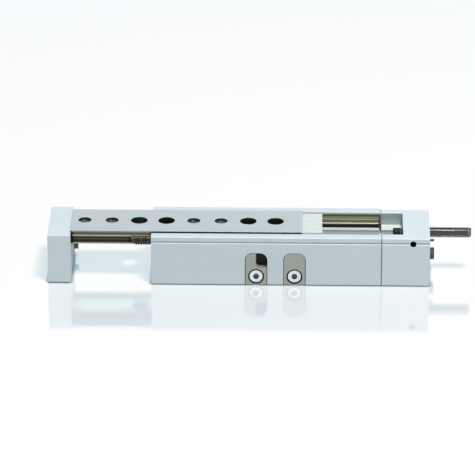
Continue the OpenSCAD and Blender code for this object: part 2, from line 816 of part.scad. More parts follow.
// Places children at the two screws that hold the end plate
module end_screw_places() {
  for (y = [-end_screw_pitch / 2, end_screw_pitch / 2])
    translate([table_x - end_plate_t + screw_sink, y, rim_z - end_screw_drop]) face_front() children();
}

// Places children at the two screws that hold the end cap
module cap_screw_places() {
  for (y = [-cap_screw_pitch / 2, cap_screw_pitch / 2])
    translate([cap_end_x - screw_sink, y, cap_screw_z]) face_rear() children();
}

// Places children at the two screws that hold the driver block, at the plate's lower face
module driver_screw_places() {
  y = (driver_neck_w + driver_top_w) / 4;
  for (side = [-1, 1]) translate([driver_x + driver_l / 2, side * y, plate_z]) children();
}

// Long shallow bevel at the rear end of the table's top
module bevel_cut() {
  end_x = table_end_x + over;
  end_z = table_top_z - bevel_h * (1 + over / bevel_l);
  polygon([
    [table_end_x - bevel_l, table_top_z], [end_x, end_z],
    [end_x, table_top_z + over], [table_end_x - bevel_l, table_top_z + over]
  ]);
}

module table() {
  color([0.76, 0.80, 0.82]) difference() {
    along_x(table_x, table_l) table_section();
    for (i = [0 : len(hole_is_plain) - 1])
      translate([table_x + first_hole + i * hole_pitch, 0, 0]) table_hole(hole_is_plain[i]);
    upright(-table_w, table_w) bevel_cut();
    for (y = [-end_screw_pitch / 2, end_screw_pitch / 2])
      rod_x(table_x - over, end_screw_grip + 2 * over, m3_d, y, rim_z - end_screw_drop);
    for (y = [-cap_screw_pitch / 2, cap_screw_pitch / 2])
      rod_x(table_end_x - small_grip - over, small_grip + 2 * over, small_d, y, cap_screw_z);
    driver_screw_places() translate([0, 0, -over]) cylinder(d = small_d, h = small_grip + over);
  }
}

module end_plate() {
  x = table_x - end_plate_t;
  color([0.82, 0.86, 0.88]) difference() {
    along_x(x, end_plate_t)
      chamfered_span(-end_plate_w / 2, end_plate_w / 2, end_plate_lift, rim_z, edge_c);
    end_screw_places() cap_screw_hole(m3_head_d, m3_head_t, m3_d, end_plate_t);
    rod_x(table_x - stop_seat, stop_seat + over, stop_d + 2 * fit, stop_y, stop_z);
  }
}

module end_plate_screws() {
  shank_l = end_plate_t - screw_sink - m3_head_t + end_screw_grip;
  color([0.55, 0.56, 0.57]) end_screw_places()
    cap_screw(m3_head_d, m3_head_t, m3_d, shank_l, m3_socket);
}

module end_plate_stop() {
  color([0.35, 0.37, 0.38]) rod_x(table_x - stop_seat + fit, stop_seat + stop_l, stop_d, stop_y, stop_z);
}

module table_end_cap() {
  y = rail_y - cap_gap;
  color([0.90, 0.92, 0.92]) difference() {
    along_x(table_end_x, cap_l) chamfered_span(-y, y, bed_z + cap_lift, rim_z, edge_c);
    cap_screw_places() cap_screw_hole(small_head_d, small_head_t, small_d, cap_l);
  }
}

module end_cap_screws() {
  shank_l = cap_l - screw_sink - small_head_t + small_grip;
  color([0.55, 0.56, 0.57]) cap_screw_places()
    cap_screw(small_head_d, small_head_t, small_d, shank_l, small_socket);
}

// ---------- driver, rod and piston ----------

module driver_block() {
  color([0.45, 0.46, 0.47]) difference() {
    union() {
      rod_x(driver_x, driver_l, driver_foot_d, 0, bore_z);
      translate([driver_x, -driver_neck_w / 2, bore_z])
        cube([driver_l, driver_neck_w, plate_z - bore_z - fit]);
      translate([driver_x, -driver_top_w / 2, plate_z - driver_top_t])
        cube([driver_l, driver_top_w, driver_top_t - fit]);
    }
    rod_x(driver_x - over, driver_l + 2 * over, rod_end_d + 2 * fit, 0, bore_z);
    driver_screw_places() flat_screw(fit);
  }
}

// Flat-head screw from below, its shank up into the table; grown by play
module flat_screw(play = 0) {
  head_t = (flat_head_d - small_d) / 2;
  translate([0, 0, -driver_top_t - (play > 0 ? over : 0)])
    cylinder(d = small_d - 2 * fit + 2 * play, h = driver_top_t + small_grip);
  translate([0, 0, -driver_top_t])
    cylinder(d1 = flat_head_d + 2 * play, d2 = small_d - 2 * fit + 2 * play, h = head_t + play);
}

module driver_screws() {
  color([0.55, 0.56, 0.57]) driver_screw_places() flat_screw();
}

module nut(x) {
  difference() {
    hex_x(x, nut_t, nut_af, 0, bore_z);
    rod_x(x - over, nut_t + 2 * over, rod_end_d, 0, bore_z);
  }
}

module rod_nut() {
  color([0.6, 0.61, 0.6]) nut(driver_x - nut_t - fit);
}

module piston_nut() {
  color([0.6, 0.61, 0.6]) nut(piston_end_x - nut_t);
}

module piston_rod() {
  front = driver_x - nut_t - rod_end_out;
  color([0.7, 0.72, 0.73]) {
    rod_x(front, driver_end_x - front + fit, rod_end_d - 2 * fit, 0, bore_z);
    rod_x(driver_end_x + fit, piston_x - driver_end_x - 2 * fit, rod_d, 0, bore_z);
    rod_x(piston_x - 2 * fit, piston_l, rod_end_d - 2 * fit, 0, bore_z);
  }
}

module piston() {
  color([0.75, 0.76, 0.77]) difference() {
    rod_x(piston_x, piston_l, bore_d - 2 * run_play, 0, bore_z);
    rod_x(piston_x - over, piston_l + 2 * over, rod_end_d + 2 * fit, 0, bore_z);
    rod_x(piston_end_x - nut_t - fit, nut_t + over, nut_recess_d, 0, bore_z);
    for (x = piston_seal_xs)
      ring_x(x, seal_w, bore_d + over, bore_d - 2 * seal_depth, 0, bore_z);
  }
}

module piston_seals() {
  color([0.1, 0.1, 0.1]) for (x = piston_seal_xs)
    ring_x(x + fit, seal_w - 2 * fit, bore_d - 2 * seal_play, bore_d - 2 * (seal_depth - fit), 0, bore_z);
}

module piston_bumpers() {
  d = bore_d - 2 * piston_bumper_setback;
  color([0.1, 0.1, 0.1]) {
    ring_x(piston_x - piston_ring_t, piston_ring_t - fit, d, rod_d + 2 * fit, 0, bore_z);
    ring_x(piston_end_x + fit, piston_ring_t, d, nut_recess_d, 0, bore_z);
  }
}

// ---------- ball cages ----------

// Comb outline in X and Z: a strip with teeth along its lower edge
module comb_outline() {
  root_z = comb_z + comb_tooth_h;
  tip_w = comb_pitch * comb_tip_share;
  flank_w = (comb_pitch * comb_root_share - tip_w) / 2;
  start_x = cage_x + comb_start;
  polygon([
    [start_x, race_z],
    for (i = [0 : comb_count - 1]) let (x = start_x + i * comb_pitch) each [
      [x, root_z], [x + flank_w, comb_z], [x + flank_w + tip_w, comb_z], [x + 2 * flank_w + tip_w, root_z]
    ],
    [cage_x + cage_l, root_z], [cage_x + cage_l, race_z]
  ]);
}

module ball_cage(side) {
  on_side(side) color([0.35, 0.34, 0.28]) difference() {
    union() {
      along_x(cage_x, cage_l) span(cage_in_y, cage_out_y, race_z - cage_h / 2, race_z + cage_h / 2);
      upright(cage_out_y - comb_t, cage_out_y) comb_outline();
    }
    for (i = [0 : ball_count - 1])
      rod_y(cage_in_y - over, cage_t + 2 * over, 2 * race_r, cage_x + cage_margin + i * ball_pitch, race_z);
  }
}

module balls(side) {
  on_side(side) color([0.8, 0.8, 0.78]) for (i = [0 : ball_count - 1])
    translate([cage_x + cage_margin + i * ball_pitch, race_y, race_z]) sphere(r = ball_r);
}

module ball_cage_front() ball_cage(-1);
module ball_cage_rear() ball_cage(1);
module balls_front() balls(-1);
module balls_rear() balls(1);

// ---------- the nodes ----------

housing();
guide_rail_front();
guide_rail_rear();
head_cover();
head_gasket();
head_cover_screws();
tunnel_cap();
rod_gland();
rod_seal();
gland_o_ring();
gland_retaining_ring();
side_plate_left();
side_plate_right();
side_plate_gaskets();
side_plate_screws();
port_plug();
port_plug_washer();
throttle_needle();
adjuster_lock_screw();
adjuster_lock_pad();
adjuster_bolt();
adjuster_tip();
table();
end_plate();
end_plate_screws();
end_plate_stop();
table_end_cap();
end_cap_screws();
driver_block();
driver_screws();
rod_nut();
piston_rod();
piston();
piston_seals();
piston_bumpers();
piston_nut();
ball_cage_front();
ball_cage_rear();
balls_front();
balls_rear();
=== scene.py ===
import bmesh
import bpy
import json
import math
from mathutils import Matrix, Vector

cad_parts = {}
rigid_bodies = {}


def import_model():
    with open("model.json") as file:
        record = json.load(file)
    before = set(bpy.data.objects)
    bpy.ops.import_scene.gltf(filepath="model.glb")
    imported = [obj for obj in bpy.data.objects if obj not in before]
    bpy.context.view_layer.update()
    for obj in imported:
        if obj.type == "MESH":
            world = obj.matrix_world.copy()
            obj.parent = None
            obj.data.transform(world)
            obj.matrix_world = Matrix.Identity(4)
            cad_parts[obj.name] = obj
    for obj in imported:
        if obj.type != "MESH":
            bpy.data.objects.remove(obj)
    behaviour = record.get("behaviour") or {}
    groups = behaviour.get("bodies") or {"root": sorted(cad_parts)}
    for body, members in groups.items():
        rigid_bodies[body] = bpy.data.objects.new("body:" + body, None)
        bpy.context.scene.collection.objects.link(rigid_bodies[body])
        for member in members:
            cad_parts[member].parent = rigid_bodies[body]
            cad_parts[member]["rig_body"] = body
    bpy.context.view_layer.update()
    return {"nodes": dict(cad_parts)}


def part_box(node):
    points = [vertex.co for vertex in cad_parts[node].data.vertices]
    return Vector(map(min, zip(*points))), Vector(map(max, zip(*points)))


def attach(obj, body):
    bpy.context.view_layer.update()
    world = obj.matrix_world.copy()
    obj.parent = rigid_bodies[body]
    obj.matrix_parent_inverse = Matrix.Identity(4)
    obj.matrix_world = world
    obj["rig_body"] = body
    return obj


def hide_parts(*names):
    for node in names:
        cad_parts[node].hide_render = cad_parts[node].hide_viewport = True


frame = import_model()
nodes = frame["nodes"]
mm = 0.001  # sizes below are in millimetres
cadEdge, grownEdge = math.radians(25), math.radians(40)  # edges that turn by more get a small round
creaseAngle = math.radians(35)  # and past this the shading breaks
levelAngle = math.radians(1)  # faces that differ by less are one flat face
cadWeld, grownWeld = 1e-6, 1e-7  # points nearer than this, in metres, are one
nookSamples = 8
colourMix = {"data_type": "RGBA"}
fromColour, toColour, mixedColour = 6, 7, 2  # where a Mix node keeps its colour sockets
noiseSpan = {"From Min": 0.3, "From Max": 0.7}  # nearly all of a noise lies between these
print("frame loaded with", len(nodes), "nodes")


def hexLinear(code):
    # sRGB hex such as "c8d2d6" to linear red, green, blue and alpha
    out = []
    for i in (0, 2, 4):
        c = int(code[i:i + 2], 16) / 255
        out.append(c / 12.92 if c <= 0.04045 else ((c + 0.055) / 1.055) ** 2.4)
    return (*out, 1.0)


def addNode(tree, kind, settings=None, sockets=None):
    # settings belong to the node itself; sockets take a value, another node or one of its outputs
    node = tree.nodes.new(kind)
    for name, value in (settings or {}).items():
        if name == "stops":
            ramp = node.color_ramp.elements
            for i, (place, colour) in enumerate(value):
                stop = ramp[i] if i < 2 else ramp.new(place)
                stop.position = place
                stop.color = hexLinear(colour)
        else:
            setattr(node, name, value)
    for name, value in (sockets or {}).items():
        if isinstance(value, bpy.types.Node):
            value = value.outputs[0]
        if isinstance(value, bpy.types.NodeSocket):
            tree.links.new(value, node.inputs[name])
        else:
            node.inputs[name].default_value = value
    return node


def emptyTree(owner):
    # the node tree of a new material or world, with nothing in it
    owner.use_nodes = True
    owner.node_tree.nodes.clear()
    return owner.node_tree


def newObject(name, data):
    # an object in the scene, at the origin
    thing = bpy.data.objects.new(name, data)
    bpy.context.scene.collection.objects.link(thing)
    return thing


def newMaterial(name, sockets):
    # returns the material, its tree, its surface and the object coordinates
    material = bpy.data.materials.new(name)
    tree = emptyTree(material)
    surface = addNode(tree, "ShaderNodeBsdfPrincipled", sockets=sockets)
    addNode(tree, "ShaderNodeOutputMaterial", sockets={"Surface": surface})
    return material, tree, surface, addNode(tree, "ShaderNodeTexCoord").outputs["Object"]


def finishSurface(tree, surface, colour, relief, gloss=None):
    # joins colour, bump and an uneven gloss to the surface
    tree.links.new(colour, surface.inputs["Base Color"])
    tree.links.new(relief.outputs["Normal"], surface.inputs["Normal"])
    if gloss:
        tree.links.new(gloss.outputs["Result"], surface.inputs["Roughness"])


def linesAlongX(tree, point, lineMm, stretch, detail, roughness):
    # noise pulled out along the travel into lines
    drawn = addNode(tree, "ShaderNodeMapping", sockets={"Vector": point, "Scale": (stretch, 1, 1)})
    return addNode(tree, "ShaderNodeTexNoise", sockets={
        "Vector": drawn, "Scale": 1 / (lineMm * mm), "Detail": detail, "Roughness": roughness})


def settled(piece):
    # the evaluated object as a plain mesh, with its modifiers taken in
    graph = bpy.context.evaluated_depsgraph_get()
    return bpy.data.meshes.new_from_object(piece.evaluated_get(graph), depsgraph=graph)


def roundEdges(piece, widthMm, angle, clamped=True):
    # breaks each edge that turns by more than an angle with a small round
    rounding = piece.modifiers.new("edge", "BEVEL")
    rounding.width = widthMm * mm
    rounding.segments = 2
    rounding.limit_method = "ANGLE"
    rounding.angle_limit = angle
    rounding.use_clamp_overlap = clamped  # clamping thins every edge of a mesh to suit its shortest one


def addPiece(name, mesh, body, materials, *replaced, pick=None):
    # a finished mesh as a piece that rides on a body and stands for CAD nodes; pick gives a face one of the materials
    chosen = [materials.index(pick(face)) if pick else 0 for face in mesh.polygons]
    piece = newObject(name, mesh)
    mesh.materials.clear()
    for material in materials:
        mesh.materials.append(material)
    mesh.polygons.foreach_set("material_index", chosen)
    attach(piece, body)
    if replaced:
        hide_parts(*replaced)
    return piece


def dress(node, look, *materials, pick=None):
    # stands for a CAD node: a merged copy of it with every sharp edge broken by a small round
    bm = bmesh.new()
    bm.from_mesh(nodes[node].data)
    bmesh.ops.remove_doubles(bm, verts=bm.verts, dist=cadWeld)
    bmesh.ops.dissolve_limit(bm, angle_limit=levelAngle, verts=bm.verts, edges=bm.edges, delimit={"NORMAL"})
    bmesh.ops.recalc_face_normals(bm, faces=bm.faces)
    mesh = bpy.data.meshes.new(node + "Rounded")
    bm.to_mesh(mesh)
    bm.free()
    raw = newObject("raw", mesh)
    roundEdges(raw, look["edgeMm"], cadEdge, look.get("clamped", True))
    for face in mesh.polygons:
        face.use_smooth = True
    raw.modifiers.new("flatFaces", "WEIGHTED_NORMAL").weight = 100  # large faces stay flat beside their edges
    done = settled(raw)
    bpy.data.objects.remove(raw)
    return addPiece(node + "Dressed", done, nodes[node]["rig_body"], materials, node, pick=pick)


def newTree(name, inputs):
    # an empty geometry tree; inputs gives the names of each kind; returns the tree, its inputs and its end
    tree = bpy.data.node_groups.new(name, "GeometryNodeTree")
    tree.interface.new_socket("Geometry", in_out="OUTPUT", socket_type="NodeSocketGeometry")
    for kind, labels in {**inputs, "Material": ("Material",)}.items():
        for label in labels:
            tree.interface.new_socket(label, in_out="INPUT", socket_type="NodeSocket" + kind)
    return tree, addNode(tree, "NodeGroupInput").outputs, addNode(tree, "NodeGroupOutput")


def closeTree(tree, geometry, given, end):
    # instances become real mesh and take the material that the tree was given
    real = addNode(tree, "GeometryNodeRealizeInstances", sockets={"Geometry": geometry})
    coloured = addNode(tree, "GeometryNodeSetMaterial", sockets={"Geometry": real, "Material": given["Material"]})
    tree.links.new(coloured.outputs[0], end.inputs[0])
    return tree


def grow(tree, values, edgeMm=0.0):
    # runs a geometry tree with its inputs set and returns a plain mesh that faces outwards
    carrier = newObject("carrier", bpy.data.meshes.new("carrier"))
    modifier = carrier.modifiers.new("grow", "NODES")
    modifier.node_group = tree
    sockets = {s.name: s.identifier for s in tree.interface.items_tree if s.in_out == "INPUT"}
    for label, value in values.items():
        modifier[sockets[label]] = value
    if edgeMm:
        roundEdges(carrier, edgeMm, grownEdge)
    carrier.update_tag()
    bpy.context.view_layer.update()
    mesh = settled(carrier)
    carrier.modifiers.clear()
    bpy.data.objects.remove(carrier)
    bm = bmesh.new()
    bm.from_mesh(mesh)
    bmesh.ops.remove_doubles(bm, verts=bm.verts, dist=grownWeld)
    bmesh.ops.recalc_face_normals(bm, faces=bm.faces)
    bm.to_mesh(mesh)
    bm.free()
    for face in mesh.polygons:
        face.use_smooth = True
        face.material_index = 0
    mesh.set_sharp_from_angle(angle=creaseAngle)
    return mesh


def paintedNookShade(tree, colour, look):
    # painted shade: the colour darkens within a short reach of a gap or a close corner, by how much of the space there
    # is blocked
    nookShade = addNode(tree, "ShaderNodeAmbientOcclusion", {"samples": nookSamples}, {"Distance": look["nookShadeMm"] * mm})
    depth = addNode(tree, "ShaderNodeMapRange", sockets={
        "Value": nookShade.outputs["AO"], "From Min": look["nookShadeFrom"], "From Max": look["nookShadeFull"]})
    shadedColour = addNode(tree, "ShaderNodeMix", colourMix, {
        "Factor": depth, fromColour: colour, toColour: hexLinear(look["nookShade"])})
    return shadedColour.outputs[mixedColour]


# clear anodised aluminium, blasted: an even satin skin, pale blue grey, with no lines of its own
blasted = {
    "base": "dbeaf1", "shade": "d4e3ea", "cloudMm": 9.0, "grainMm": 0.35, "metallic": 0.12,
    "roughness": 0.5, "uneven": 0.05,
    "nookShade": "50595c", "nookShadeMm": 0.7, "nookShadeFrom": 0.85, "nookShadeFull": 0.5}  # painted shade in joints and close corners: its colour, reach and range


def anodisedAluminium(name, look, lineMm=0.0):
    # soft clouds of two near tones under a fine grain; milled faces carry cutter lines as well
    material, tree, surface, point = newMaterial(name, {"Metallic": look["metallic"], "Roughness": look["roughness"]})
    cloud = addNode(tree, "ShaderNodeTexNoise", sockets={
        "Vector": point, "Scale": 1 / (look["cloudMm"] * mm), "Detail": 3.0})
    blend = addNode(tree, "ShaderNodeMix", colourMix, {
        "Factor": cloud.outputs["Fac"], fromColour: hexLinear(look["base"]), toColour: hexLinear(look["shade"])})
    # blasting grit is about 0.1 mm; drawn coarser so that it shows
    grain = addNode(tree, "ShaderNodeTexNoise", sockets={
        "Vector": point, "Scale": 1 / (look["grainMm"] * mm), "Detail": 3.0, "Roughness": 0.7})
    relief = addNode(tree, "ShaderNodeBump", sockets={
        "Height": grain.outputs["Fac"], "Strength": 0.5, "Distance": 0.004 * mm})
    if lineMm:
        # cutter lines of a fine mill, drawn at twice their spacing
        lines = linesAlongX(tree, point, lineMm, 0.05, 2.0, 0.5)
        relief = addNode(tree, "ShaderNodeBump", sockets={
            "Height": lines.outputs["Fac"], "Strength": 0.35, "Distance": 0.004 * mm, "Normal": relief})
    gloss = addNode(tree, "ShaderNodeMapRange", sockets={
        **noiseSpan, "Value": grain.outputs["Fac"],
        "To Min": look["roughness"] - look["uneven"], "To Max": look["roughness"] + look["uneven"]})
    finishSurface(tree, surface, paintedNookShade(tree, blend.outputs[mixedColour], look), relief, gloss)
    return material


def groundSteel(name, look):
    # ground or drawn steel: fine lines along the travel, which pull highlights out across them
    material, tree, surface, point = newMaterial(name, {"Metallic": 1.0, "Roughness": look["roughness"]})
    lines = linesAlongX(tree, point, look["lineMm"], 0.012, 4.0, 0.6)
    share = addNode(tree, "ShaderNodeMapRange", sockets={**noiseSpan, "Value": lines.outputs["Fac"]})
    blend = addNode(tree, "ShaderNodeMix", colourMix, {
        "Factor": share, fromColour: hexLinear(look["base"]), toColour: hexLinear(look["shade"])})
    gloss = addNode(tree, "ShaderNodeMapRange", sockets={
        **noiseSpan, "Value": lines.outputs["Fac"],
        "To Min": look["roughness"] * 0.85, "To Max": look["roughness"] * 1.2})
    relief = addNode(tree, "ShaderNodeBump", sockets={
        "Height": lines.outputs["Fac"], "Strength": 0.6, "Distance": 0.002 * mm})
    finishSurface(tree, surface, blend.outputs[mixedColour], relief, gloss)
    return material


def bandedSteel(name, look):
    # hardened rail steel: straw and olive from hardening, with ground lands between darker unground strips; the bands'
    # light and dark are partly painted highlight and painted shade
    material, tree, surface, point = newMaterial(name, {"Metallic": look["metallic"], "Roughness": look["roughness"]})
    place = addNode(tree, "ShaderNodeSeparateXYZ", sockets={"Vector": point})
    height = addNode(tree, "ShaderNodeMapRange", sockets={
        "Value": place.outputs["Z"], "From Min": look["fromMm"] * mm, "From Max": look["toMm"] * mm})
    reach = look["toMm"] - look["fromMm"]
    stops = [((z - look["fromMm"]) / reach, colour) for z, colour in look["bands"]]
    bands = addNode(tree, "ShaderNodeValToRGB", {"stops": stops}, {"Fac": height})
    streaks = linesAlongX(tree, point, look["streakMm"], 0.03, 4.0, 0.65)
    share = addNode(tree, "ShaderNodeMapRange", sockets={
        **noiseSpan, "Value": streaks.outputs["Fac"], "To Max": look["streaks"]})
    worn = addNode(tree, "ShaderNodeMix", {**colourMix, "blend_type": "MULTIPLY"}, {
        "Factor": share, fromColour: bands.outputs["Color"], toColour: hexLinear(look["streakColour"])})
    relief = addNode(tree, "ShaderNodeBump", sockets={
        "Height": streaks.outputs["Fac"], "Strength": 0.6, "Distance": 0.003 * mm})
    colour = worn.outputs[mixedColour]
    if "top" in look:
        # faces that look up are drawn lighter
        facing = addNode(tree, "ShaderNodeNewGeometry").outputs["Normal"]
        normal = addNode(tree, "ShaderNodeSeparateXYZ", sockets={"Vector": facing})
        up = addNode(tree, "ShaderNodeMapRange", sockets={
            "Value": normal.outputs["Z"], "From Min": 0.6, "From Max": 0.85})
        bright = addNode(tree, "ShaderNodeMix", colourMix, {
            "Factor": up, fromColour: colour, toColour: hexLinear(look["top"])})
        colour = bright.outputs[mixedColour]
    # painted shade near gaps and close corners, where the look gives it
    if "nookShade" in look:
        colour = paintedNookShade(tree, colour, look)
    finishSurface(tree, surface, colour, relief)
    return material


def smallMetal(name, look):
    # turned, plated or drawn small metal: even colour with a slight grain under the gloss
    material, tree, surface, point = newMaterial(name, {
        "Metallic": look.get("metallic", 1.0), "Roughness": look["roughness"]})
    grain = addNode(tree, "ShaderNodeTexNoise", sockets={
        "Vector": point, "Scale": 1 / (look.get("grainMm", 0.3) * mm), "Detail": 3.0, "Roughness": 0.6})
    share = addNode(tree, "ShaderNodeMapRange", sockets={**noiseSpan, "Value": grain.outputs["Fac"]})
    blend = addNode(tree, "ShaderNodeMix", colourMix, {
        "Factor": share, fromColour: hexLinear(look["base"]), toColour: hexLinear(look["shade"])})
    relief = addNode(tree, "ShaderNodeBump", sockets={
        "Height": grain.outputs["Fac"], "Strength": 0.4, "Distance": look.get("depthMm", 0.002) * mm})
    finishSurface(tree, surface, blend.outputs[mixedColour], relief)
    return material


def mouldedPlastic(name, look):
    # acetal, nitrile or polyurethane from a mould: opaque, with a soft uneven gloss
    material, tree, surface, point = newMaterial(name, {"Roughness": look["roughness"], "IOR": look["ior"]})
    cloud = addNode(tree, "ShaderNodeTexNoise", sockets={
        "Vector": point, "Scale": 1 / (look["cloudMm"] * mm), "Detail": 3.0})
    share = addNode(tree, "ShaderNodeMapRange", sockets={**noiseSpan, "Value": cloud.outputs["Fac"]})
    blend = addNode(tree, "ShaderNodeMix", colourMix, {
        "Factor": share, fromColour: hexLinear(look["base"]), toColour: hexLinear(look["shade"])})
    gloss = addNode(tree, "ShaderNodeMapRange", sockets={
        **noiseSpan, "Value": cloud.outputs["Fac"],
        "To Min": look["roughness"] * 0.9, "To Max": look["roughness"] * 1.15})
    relief = addNode(tree, "ShaderNodeBump", sockets={
        "Height": cloud.outputs["Fac"], "Strength": 0.3, "Distance": 0.01 * mm})
    finishSurface(tree, surface, blend.outputs[mixedColour], relief, gloss)
    return material


clearAnodised = anodisedAluminium("clearAnodisedAluminiumBlasted", blasted)
# painted shade: the channel walls are a darker copy of the skin
shadedChannelWall = anodisedAluminium("milledAluminiumChannelWallPaintedShade", {
    **blasted, "base": "aab9ba", "shade": "9cabac", "metallic": 0.35, "roughness": 0.32}, 0.4)
# painted light: the channel bed is drawn near white, brighter than the skin, for the lamp lighting it
litChannelBed = anodisedAluminium("milledAluminiumChannelBedPaintedLight", {
    **blasted, "base": "f6fbfb", "shade": "eef5f5", "metallic": 0.0, "roughness": 0.45}, 0.4)
# painted shade: slots and the edges beside them drawn dark grey
slotShade = anodisedAluminium("aluminiumSlotPaintedShade", {
    **blasted, "base": "5c6060", "shade": "4c5050", "metallic": 0.4, "roughness": 0.4}, 0.4)
# painted shade: the relief's recessed floor is a darker copy of the skin
shadedReliefFloor = anodisedAluminium("milledAluminiumReliefPaintedShade", {
    **blasted, "base": "b4bfc0", "shade": "a6b1b2", "metallic": 0.2, "roughness": 0.35}, 0.4)
clearMilled = anodisedAluminium("clearAnodisedAluminiumMilled", {**blasted, "base": "ddecf2", "shade": "d7e6ec"}, 0.5)
zincPlated = smallMetal("zincPlatedSteel", {"base": "dbe6ea", "shade": "cfdade", "roughness": 0.24})
# painted shade: the sockets' inside drawn dark blue grey
shadedSocket = smallMetal("zincPlatedSteelSocketPaintedShade", {"base": "4a6270", "shade": "38505e", "roughness": 0.35})
# painted shade: near black, drawn on joints, pocket edges and counterbores
boreShade = smallMetal("steelPaintedShadeForGapsAndBores", {
    "base": "14171a", "shade": "101215", "roughness": 0.5, "metallic": 0.2})
nickelPlated = smallMetal("nickelPlatedSteelThread", {"base": "7a7e7a", "shade": "6a6e6a", "roughness": 0.3})
plugSteel = smallMetal("turnedSteelHexagon", {"base": "565a58", "shade": "484c4a", "roughness": 0.32})
needleSteel = smallMetal("turnedStainlessNeedle", {"base": "6d7070", "shade": "5e6161", "roughness": 0.35})
# black oxide on the lock screw; also drawn as painted shade on the head cover's joint and set screw hole
blackOxideAndShade = smallMetal("blackOxideSteelAndPaintedShade", {"base": "17181a", "shade": "101113", "roughness": 0.5})
springSteel = smallMetal("phosphatedSpringSteel", {"base": "5a5c60", "shade": "4e5054", "roughness": 0.4})
hardChrome = smallMetal("hardChromedSteelGround", {"base": "c8ccce", "shade": "bec2c4", "roughness": 0.12})
turnedAluminium = smallMetal("turnedAluminium", {"base": "cdd0d2", "shade": "bfc2c4", "roughness": 0.3})
turnedBrass = smallMetal("turnedBrass", {"base": "c2a45c", "shade": "b3954f", "roughness": 0.28})
plateZinc = smallMetal("zincDieCastBlasted", {
    "base": "b2b7b1", "shade": "a6aba5", "roughness": 0.55, "grainMm": 0.4, "depthMm": 0.006, "metallic": 0.35})
# painted shade: the balls are drawn near black, for the shade of the groove they run in
ballSteel = smallMetal("bearingSteelPaintedShade", {"base": "403f37", "shade": "37362f", "roughness": 0.5})
nitrile = mouldedPlastic("nitrileRubberMoulded", {
    "base": "060707", "shade": "0b0d0e", "roughness": 0.6, "ior": 1.4, "cloudMm": 0.6})
polyurethane = mouldedPlastic("polyurethaneTipMoulded", {
    "base": "14181b", "shade": "101315", "roughness": 0.65, "ior": 1.5, "cloudMm": 1.5})
whiteAcetal = mouldedPlastic("whiteAcetalMoulded", {
    "base": "dce5e5", "shade": "d4dedf", "roughness": 0.4, "ior": 1.48, "cloudMm": 4.0})
blackAcetal = mouldedPlastic("blackAcetalMoulded", {
    "base": "1d1e20", "shade": "191a1c", "roughness": 0.4, "ior": 1.48, "cloudMm": 4.0})
print("materials ready:", len(bpy.data.materials))


shankSinkMm = 0.1  # a shank starts this far under the top of its head
joined = {"operation": "UNION", "solver": "EXACT"}
cutAway = {"operation": "DIFFERENCE", "solver": "EXACT"}
offsetLine = {"mode": "OFFSET"}
trapezoid = {"mode": "TRAPEZOID"}


def capScrewTree():
    # hexagon socket cap screws standing on Z, tops at 0, spread over a grid in X and Y
    tree, given, end = newTree("capScrews", {
        "Float": ("Head Radius", "Head Height", "Socket Radius", "Socket Depth", "Shank Radius", "Shank Length",
                  "Width", "Length"),
        "Int": ("Across", "Along")})
    whole = addNode(tree, "ShaderNodeMath", {"operation": "ADD"}, {0: given["Head Height"], 1: given["Shank Length"]})
    headMiddle = addNode(tree, "ShaderNodeMath", {"operation": "MULTIPLY"}, {0: given["Head Height"], 1: -0.5})
    shankMiddle = addNode(tree, "ShaderNodeMath", {"operation": "MULTIPLY_ADD"}, {
        0: whole, 1: -0.5, 2: -shankSinkMm * mm})
    keyDepth = addNode(tree, "ShaderNodeMath", {"operation": "MULTIPLY"}, {0: given["Socket Depth"], 1: 2.0})
    head = addNode(tree, "GeometryNodeMeshCylinder", sockets={
        "Vertices": 48, "Radius": given["Head Radius"], "Depth": given["Head Height"]})
    shank = addNode(tree, "GeometryNodeMeshCylinder", sockets={
        "Vertices": 32, "Radius": given["Shank Radius"], "Depth": whole})
    key = addNode(tree, "GeometryNodeMeshCylinder", sockets={
        "Vertices": 6, "Radius": given["Socket Radius"], "Depth": keyDepth})
    headPlace = addNode(tree, "ShaderNodeCombineXYZ", sockets={"Z": headMiddle})
    shankPlace = addNode(tree, "ShaderNodeCombineXYZ", sockets={"Z": shankMiddle})
    headSet = addNode(tree, "GeometryNodeTransform", sockets={"Geometry": head, "Translation": headPlace})
    shankSet = addNode(tree, "GeometryNodeTransform", sockets={"Geometry": shank, "Translation": shankPlace})
    body = addNode(tree, "GeometryNodeMeshBoolean", joined, {"Mesh 2": headSet})
    tree.links.new(shankSet.outputs[0], body.inputs["Mesh 2"])
    cut = addNode(tree, "GeometryNodeMeshBoolean", cutAway, {"Mesh 1": body, "Mesh 2": key})
    grid = addNode(tree, "GeometryNodeMeshGrid", sockets={
        "Size X": given["Width"], "Size Y": given["Length"],
        "Vertices X": given["Across"], "Vertices Y": given["Along"]})
    spread = addNode(tree, "GeometryNodeInstanceOnPoints", sockets={"Points": grid, "Instance": cut})
    return closeTree(tree, spread, given, end)


